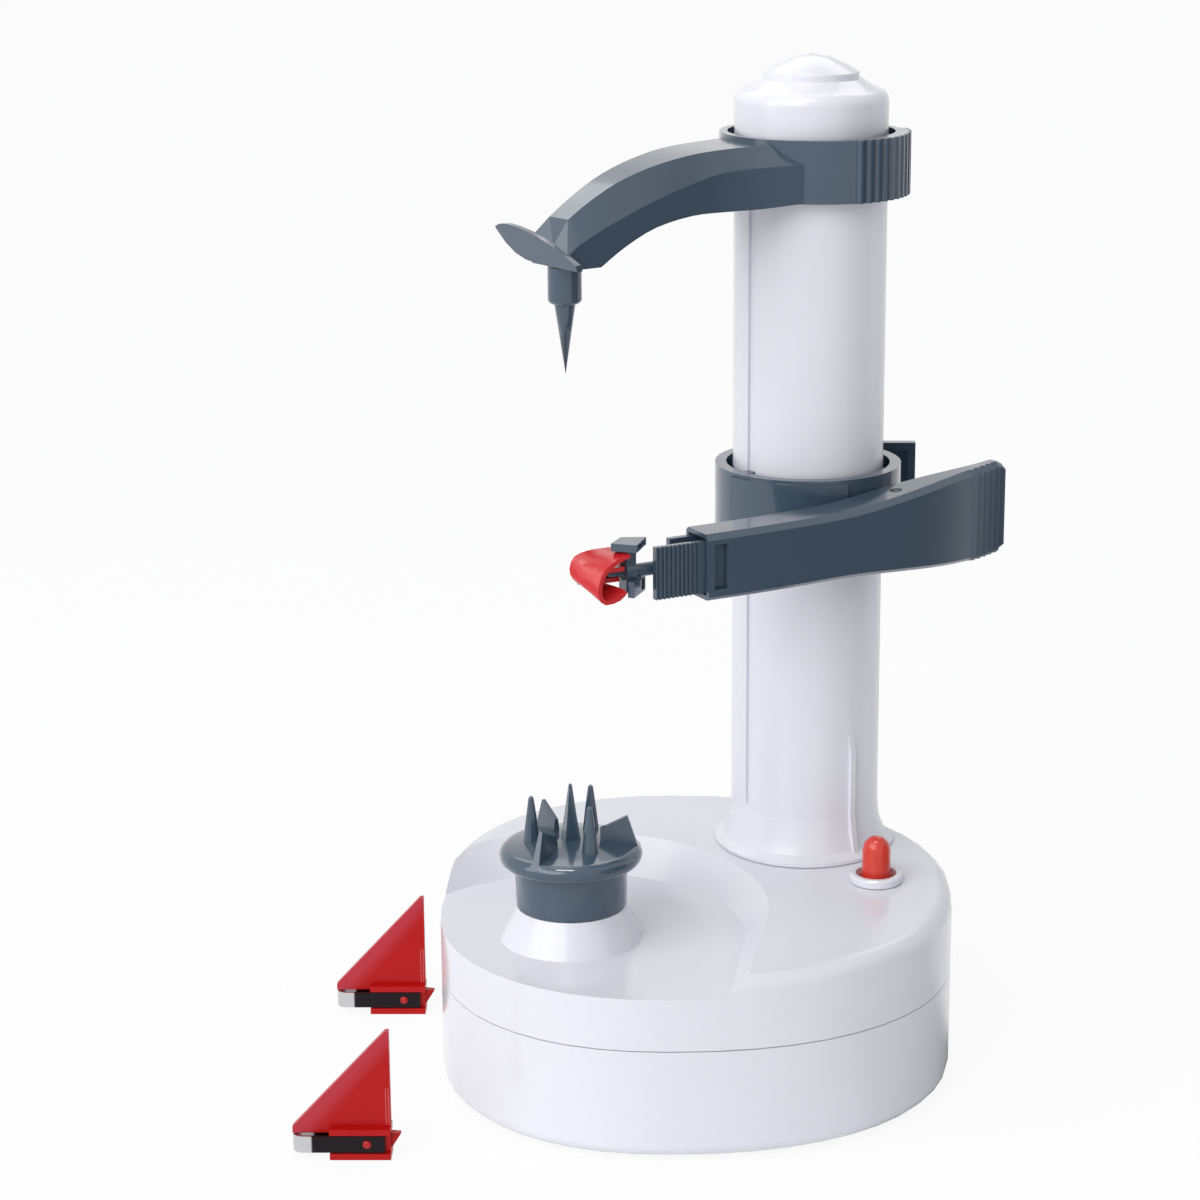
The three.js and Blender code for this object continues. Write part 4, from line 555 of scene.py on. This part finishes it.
# The thread starts at a height above the floor and ends a gap below the top of the screw
THREAD_PITCH = 5 * MM
THREAD_START = 62 * MM
THREAD_END_GAP = 14 * MM
THREAD_ROOT_SHARE = 0.8
THREAD_CREST_SHARE = 0.25
THREAD_FLANK_SHARE = 0.125
THREAD_MIDDLE_SHARE = 0.5
THREAD_ROWS = 12
THREAD_STEPS = 28


def thread_share(phase):
    """Height of a trapezoid thread at a phase between 0 and 1."""
    flank_end = THREAD_CREST_SHARE / 2 + THREAD_FLANK_SHARE
    away = abs(phase - THREAD_MIDDLE_SHARE)
    return min(1.0, max(0.0, (flank_end - away) / THREAD_FLANK_SHARE))


def threaded_screw():
    """The lead screw with the thread that carries the arms. The thread fades out at both ends."""
    low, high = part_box("lead_screw")
    middle = (low + high) / 2
    crest = (high.x - low.x) / 2
    root = crest * THREAD_ROOT_SHARE
    start = THREAD_START
    end = high.z - THREAD_END_GAP
    rows = [(low.z, 0.0), (start, 0.0)]
    count = round((end - start) / THREAD_PITCH * THREAD_ROWS)
    for row in range(1, count):
        height = start + (end - start) * row / count
        fade = min(1.0, (height - start) / THREAD_PITCH, (end - height) / THREAD_PITCH)
        rows.append((height, fade))
    rows += [(end, 0.0), (high.z, 0.0)]
    points = []
    for height, fade in rows:
        for i, (x, y) in enumerate(circle(1.0, THREAD_STEPS)):
            phase = ((height - start) / THREAD_PITCH - i / THREAD_STEPS) % 1.0
            cut = (1.0 - thread_share(phase)) * fade
            radius = crest + (root - crest) * cut
            points.append((middle.x + radius * x, middle.y + radius * y, height))
    faces = ring_faces(len(rows), THREAD_STEPS)
    screw = mesh_piece("threaded_screw", points, faces, STEEL, "screw", ROUND_CREASE)
    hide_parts("lead_screw")


SPRING_WIRE = 0.3 * MM
SPRING_TURNS = 4
SPRING_STEPS = 24
WIRE_STEPS = 8


def coil_spring():
    """The button's spring, which goes down with the button."""
    low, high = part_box("button_spring")
    middle = (low + high) / 2
    radius = (high.x - low.x) / 2 - SPRING_WIRE
    start = low.z + SPRING_WIRE
    rise = high.z - SPRING_WIRE - start
    rows = SPRING_TURNS * SPRING_STEPS + 1
    points = []
    for row in range(rows):
        angle = math.tau * row / SPRING_STEPS
        out = Vector((math.cos(angle), math.sin(angle), 0))
        centre = Vector((middle.x, middle.y, start + rise * row / (rows - 1))) + out * radius
        for x, y in circle(SPRING_WIRE, WIRE_STEPS):
            points.append(centre + out * x - Vector(UP) * y)
    faces = ring_faces(rows, WIRE_STEPS)
    spring = mesh_piece("coil_spring", points, faces, STEEL, "button", ROUND_CREASE)
    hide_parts("button_spring")
    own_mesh(spring)


DOME_TURN = math.radians(78)
DOME_STEPS = 3


def dome(radius, start, rise):
    """Profile rows of a rounded end that starts at a radius and closes to a small flat."""
    turns = [DOME_TURN * i / DOME_STEPS for i in range(DOME_STEPS + 1)]
    return [(start + rise * math.sin(turn), radius * math.cos(turn)) for turn in turns]


# Places along the bore are measured from its mouth
PIN_RADIUS = 0.85 * MM
PIN_BACK = -10 * MM
PIN_SHOULDER = -3 * MM
PIN_NOSE = 0.9 * MM
SLEEVE_RADIUS = 3.15 * MM
SLEEVE_WALL = 0.25 * MM
SLEEVE_BACK = -9 * MM
SLEEVE_FRONT = -1.4 * MM
SLEEVE_LIP = 0.2 * MM
SLEEVE_LIP_SHARE = 0.4
SLEEVE_STEPS = 32


def jack_contacts():
    """Centre pin and spring sleeve in the bore of the adaptor jack."""
    low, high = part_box("adaptor_jack")
    middle = (low + high) / 2
    mouth = (middle.x, high.y, middle.z)
    pin = [(PIN_BACK, PIN_RADIUS)] + dome(PIN_RADIUS, PIN_SHOULDER, PIN_NOSE)
    revolved("jack_pin", pin, mouth, BACK, STEEL)
    inner = SLEEVE_RADIUS - SLEEVE_WALL
    sleeve = [
        (SLEEVE_BACK, SLEEVE_RADIUS),
        (SLEEVE_FRONT, SLEEVE_RADIUS),
        (SLEEVE_FRONT + SLEEVE_LIP, inner + SLEEVE_WALL * SLEEVE_LIP_SHARE),
        (SLEEVE_FRONT, inner),
        (SLEEVE_BACK, inner),
    ]
    revolved("jack_sleeve", sleeve, mouth, BACK, STEEL, closed=True, steps=SLEEVE_STEPS)


RIVET_SHARE = 0.69
RIVET_RADIUS = 1.2 * MM
RIVET_BACK = -0.3 * MM
RIVET_EDGE = 0.12 * MM
RIVET_RISE = 0.51 * MM

# The teeth stand on the front of the plate, inset from its upright edge and lifted above its foot
TEETH_ROWS = 2
TEETH_COUNT = 26
TEETH_INSET = 3.2 * MM
TEETH_LIFT = 9.7 * MM
TEETH_ROW_PITCH = 0.75 * MM
TOOTH_PITCH = 0.42 * MM
TOOTH_HALF = 0.16 * MM
TOOTH_RISE = 0.14 * MM
TOOTH_CORNERS = ((-TOOTH_HALF, 0), (0, -TOOTH_HALF), (TOOTH_HALF, 0), (0, TOOTH_HALF))
PLATE_HALF = 1 * MM


def spare_rivet(number):
    """Rivet through the band of a spare blade."""
    low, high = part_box(f"spare_blade_holder_{number}")
    band_low, band_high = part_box(f"spare_blade_steel_{number}")
    level = (band_low.z + band_high.z) / 2
    place = (low.x + (high.x - low.x) * RIVET_SHARE, band_low.y, level)
    profile = [(RIVET_BACK, RIVET_RADIUS)] + dome(RIVET_RADIUS, RIVET_EDGE, RIVET_RISE)
    revolved(f"spare_rivet_{number}", profile, place, FRONT, SPARE_RED)


def spare_teeth(number):
    """Fine teeth in rows down the edge of a spare blade's plate, each one a small pyramid."""
    low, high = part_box(f"spare_blade_holder_{number}")
    face = (low.y + high.y) / 2 - PLATE_HALF
    points = []
    faces = []
    for row in range(TEETH_ROWS):
        x = high.x - TEETH_INSET - TEETH_ROW_PITCH * row
        for i in range(TEETH_COUNT):
            z = low.z + TEETH_LIFT + TOOTH_PITCH * i
            first = len(points)
            for across, rise in TOOTH_CORNERS:
                points.append((x + across, face, z + rise))
            tip = len(points)
            points.append((x, face - TOOTH_RISE, z))
            for corner in range(first, tip):
                following = corner + 1 if corner + 1 < tip else first
                faces.append((corner, following, tip))
            faces.append(tuple(reversed(range(first, tip))))
    # The teeth carry a pale pink painted highlight on their tips
    mesh_piece(f"spare_teeth_{number}", points, faces, TOOTH_HIGHLIGHT_RED, "base", TOOTH_CREASE)


CROSS_ARM = 1.55 * MM
CROSS_HALF = 0.36 * MM
CROSS_DEPTH = 1.1 * MM
HEAD_RIM_SHARE = 0.82
HEAD_CHAMFER = 0.5 * MM
HEAD_HEIGHT = 1.6 * MM
SHANK_RADIUS = 1.3 * MM


def cross_outline():
    """Corners of the cross recess, arm by arm."""
    corners = []
    for c, s in ((1, 0), (0, 1), (-1, 0), (0, -1)):
        for out, side in ((CROSS_HALF, -CROSS_HALF), (CROSS_ARM, -CROSS_HALF), (CROSS_ARM, CROSS_HALF)):
            corners.append((c * out - s * side, s * out + c * side))
    return corners


def cross_screw(number):
    """Housing screw with a cross recess in its head, which faces down."""
    low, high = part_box(f"housing_screw_{number}")
    middle = (low + high) / 2
    head = (high.x - low.x) / 2
    build = bmesh.new()

    def loop(outline, height):
        return [build.verts.new((middle.x + x, middle.y + y, height)) for x, y in outline]

    def walls(lower, upper):
        for i in range(len(lower)):
            j = (i + 1) % len(lower)
            build.faces.new((lower[i], lower[j], upper[j], upper[i]))

    rim = loop(circle(head * HEAD_RIM_SHARE, ROUND_STEPS), low.z)
    edge = loop(circle(head, ROUND_STEPS), low.z + HEAD_CHAMFER)
    back = loop(circle(head, ROUND_STEPS), low.z + HEAD_HEIGHT)
    neck = loop(circle(SHANK_RADIUS, ROUND_STEPS), low.z + HEAD_HEIGHT)
    tip = loop(circle(SHANK_RADIUS, ROUND_STEPS), high.z)
    for lower, upper in ((rim, edge), (edge, back), (back, neck), (neck, tip)):
        walls(lower, upper)
    build.faces.new(tip)
    mouth = loop(cross_outline(), low.z)
    floor = loop(cross_outline(), low.z + CROSS_DEPTH)
    walls(floor, mouth)
    build.faces.new(list(reversed(floor)))
    edges = []
    for outline in (rim, mouth):
        for i in range(len(outline)):
            edges.append(build.edges.get((outline[i], outline[(i + 1) % len(outline)])))
    bmesh.ops.triangle_fill(build, use_beauty=True, edges=edges)
    bmesh.ops.recalc_face_normals(build, faces=build.faces)
    mesh = bpy.data.meshes.new(f"cross_screw_{number}")
    build.to_mesh(mesh)
    build.free()
    screw = place_mesh(mesh, STEEL, "base")
    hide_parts(f"housing_screw_{number}")


threaded_screw()
coil_spring()
jack_contacts()
for number in SPARE_NUMBERS:
    spare_rivet(number)
    spare_teeth(number)
for number in FOUR_NUMBERS:
    cross_screw(number)


# Floor and background

WHITE_LIGHT = (1, 1, 1, 1)
FLOOR_SIZE = 30
FLOOR_ROUGHNESS = 0.9
GLOW_SHARE = 0.9
SKY_COLOUR = (0.96, 0.975, 1.0, 1)
SKY_STRENGTH = 0.5

# The dim part of the room: the way to it, the cosines between which it fades in, and the light left
DIM_WAY = (0.966, -0.259, 0)
DIM_FROM = 0.82
DIM_TO = 0.97
DIM_SHARE = 0.1


def larger(nodes, links, first, second):
    """The larger of two values."""
    node = nodes.new("ShaderNodeMath")
    node.operation = "MAXIMUM"
    links.new(first, node.inputs[0])
    links.new(second, node.inputs[1])
    return node.outputs["Value"]


def seen_by_eye(nodes, links):
    """One for camera, glossy and transmission rays, and nothing for the rays that light the scene."""
    rays = nodes.new("ShaderNodeLightPath").outputs
    seen = larger(nodes, links, rays["Is Camera Ray"], rays["Is Glossy Ray"])
    return larger(nodes, links, seen, rays["Is Transmission Ray"])


def room_light(nodes, links, place):
    """One all round the room but for its right front, which reflections show dim. The camera sees one."""
    way = nodes.new("ShaderNodeVectorMath")
    way.operation = "NORMALIZE"
    links.new(place, way.inputs[0])
    ramp = nodes.new("ShaderNodeMapRange")
    ramp.interpolation_type = "SMOOTHSTEP"
    ramp.inputs["From Min"].default_value = DIM_FROM
    ramp.inputs["From Max"].default_value = DIM_TO
    ramp.inputs["To Min"].default_value = 1.0
    ramp.inputs["To Max"].default_value = DIM_SHARE
    links.new(reach_along(nodes, links, way.outputs["Vector"], DIM_WAY), ramp.inputs["Value"])
    camera_rays = nodes.new("ShaderNodeLightPath").outputs["Is Camera Ray"]
    return larger(nodes, links, ramp.outputs["Result"], camera_rays)


def floor_material():
    """Pale floor: white to the camera and in reflections, and it keeps a soft part of the shadow."""
    material = bpy.data.materials.new("floor")
    material.use_nodes = True
    nodes = material.node_tree.nodes
    links = material.node_tree.links
    shader = nodes["Principled BSDF"]
    shader.inputs["Base Color"].default_value = linear(FLOOR_SRGB)
    shader.inputs["Roughness"].default_value = FLOOR_ROUGHNESS
    shader.inputs["Specular IOR Level"].default_value = 0.0
    glow = nodes.new("ShaderNodeEmission")
    glow.inputs["Color"].default_value = WHITE_LIGHT
    place = nodes.new("ShaderNodeTexCoord").outputs["Object"]
    links.new(room_light(nodes, links, place), glow.inputs["Strength"])
    share = nodes.new("ShaderNodeMath")
    share.operation = "MULTIPLY"
    share.inputs[1].default_value = GLOW_SHARE
    links.new(seen_by_eye(nodes, links), share.inputs[0])
    mix = nodes.new("ShaderNodeMixShader")
    links.new(share.outputs["Value"], mix.inputs["Fac"])
    links.new(shader.outputs["BSDF"], mix.inputs[1])
    links.new(glow.outputs["Emission"], mix.inputs[2])
    links.new(mix.outputs["Shader"], nodes["Material Output"].inputs["Surface"])
    return material


def make_floor():
    """A wide level floor under the part."""
    mesh = bpy.data.meshes.new("floor")
    half = FLOOR_SIZE / 2
    corners = [(-half, -half, 0), (half, -half, 0), (half, half, 0), (-half, half, 0)]
    mesh.from_pydata(corners, [], [(0, 1, 2, 3)])
    mesh.materials.append(floor_material())
    floor = bpy.data.objects.new("floor", mesh)
    bpy.context.collection.objects.link(floor)


def make_world():
    """Soft light from all round, and a white background for the camera and in reflections."""
    world = bpy.data.worlds.new("studio")
    world.use_nodes = True
    nodes = world.node_tree.nodes
    links = world.node_tree.links
    light = nodes["Background"]
    light.inputs["Color"].default_value = SKY_COLOUR
    light.inputs["Strength"].default_value = SKY_STRENGTH
    back = nodes.new("ShaderNodeBackground")
    back.inputs["Color"].default_value = WHITE_LIGHT
    place = nodes.new("ShaderNodeTexCoord").outputs["Generated"]
    links.new(room_light(nodes, links, place), back.inputs["Strength"])
    mix = nodes.new("ShaderNodeMixShader")
    links.new(seen_by_eye(nodes, links), mix.inputs["Fac"])
    links.new(light.outputs["Background"], mix.inputs[1])
    links.new(back.outputs["Background"], mix.inputs[2])
    links.new(mix.outputs["Shader"], nodes["World Output"].inputs["Surface"])
    bpy.context.scene.world = world


# Lamps: places and sizes in metres, panels in watts, the spread of the sun in degrees

LAMP_AIM = Vector((0, 0, 0.13))
SUN_WAY = Vector((0.45, 0.72, -0.53))
SUN_STRENGTH = 1.22
SUN_SPREAD = 40


def hang_lamp(lamp, way):
    """A lamp that shines along a way."""
    obj = bpy.data.objects.new(lamp.name, lamp)
    obj.rotation_mode = "QUATERNION"
    obj.rotation_quaternion = way.to_track_quat("-Z", "Y")
    bpy.context.collection.objects.link(obj)
    return obj


def soft_sun():
    """The main light, from the upper left front."""
    lamp = bpy.data.lights.new("key", "SUN")
    lamp.energy = SUN_STRENGTH
    lamp.angle = math.radians(SUN_SPREAD)
    hang_lamp(lamp, SUN_WAY)


def softbox(name, place, width, height, watts, gleam=False):
    """A panel of light that faces the object. A gleam shows in reflections alone."""
    lamp = bpy.data.lights.new(name, "AREA")
    lamp.shape = "RECTANGLE"
    lamp.size = width
    lamp.size_y = height
    lamp.energy = watts
    panel = hang_lamp(lamp, LAMP_AIM - Vector(place))
    panel.location = place
    panel.visible_diffuse = not gleam


make_floor()
make_world()
soft_sun()
softbox("left box", place=(-0.75, -0.35, 0.6), width=0.35, height=0.9, watts=2.4)
softbox("top box", place=(-0.1, 0.1, 1.3), width=0.7, height=0.7, watts=2.0)
softbox("back gleam", place=(0.0, 0.78, 1.04), width=1.3, height=0.45, watts=3.0, gleam=True)
softbox("front gleam", place=(-0.12, -0.4, 1.15), width=0.4, height=0.14, watts=4.0, gleam=True)


# Camera, from the fit of the column, its rings and the base outline to the photograph. Its focal length
# and principal point are in the photograph's pixels, its place in metres and its pitch in radians.

PHOTO_SIZE = 1200
FOCAL_PIXELS = 3020.7
PRINCIPAL_X = 689.6
PRINCIPAL_Y = 594.4
CAMERA_PLACE = (0.00815, -0.82228, 0.36847)
CAMERA_PITCH = 0.2687
SENSOR_WIDTH = 36


def make_camera():
    """The camera of the photograph, with its shift for a frame that isn't centred on the lens."""
    camera = bpy.data.cameras.new("camera")
    camera.sensor_width = SENSOR_WIDTH
    camera.lens = FOCAL_PIXELS / PHOTO_SIZE * SENSOR_WIDTH
    camera.shift_x = (PHOTO_SIZE / 2 - PRINCIPAL_X) / PHOTO_SIZE
    camera.shift_y = (PRINCIPAL_Y - PHOTO_SIZE / 2) / PHOTO_SIZE
    obj = bpy.data.objects.new("camera", camera)
    obj.location = CAMERA_PLACE
    obj.rotation_euler = (math.pi / 2 - CAMERA_PITCH, 0, 0)
    bpy.context.collection.objects.link(obj)
    bpy.context.scene.camera = obj


make_camera()
bpy.context.scene.view_settings.view_transform = "Standard"
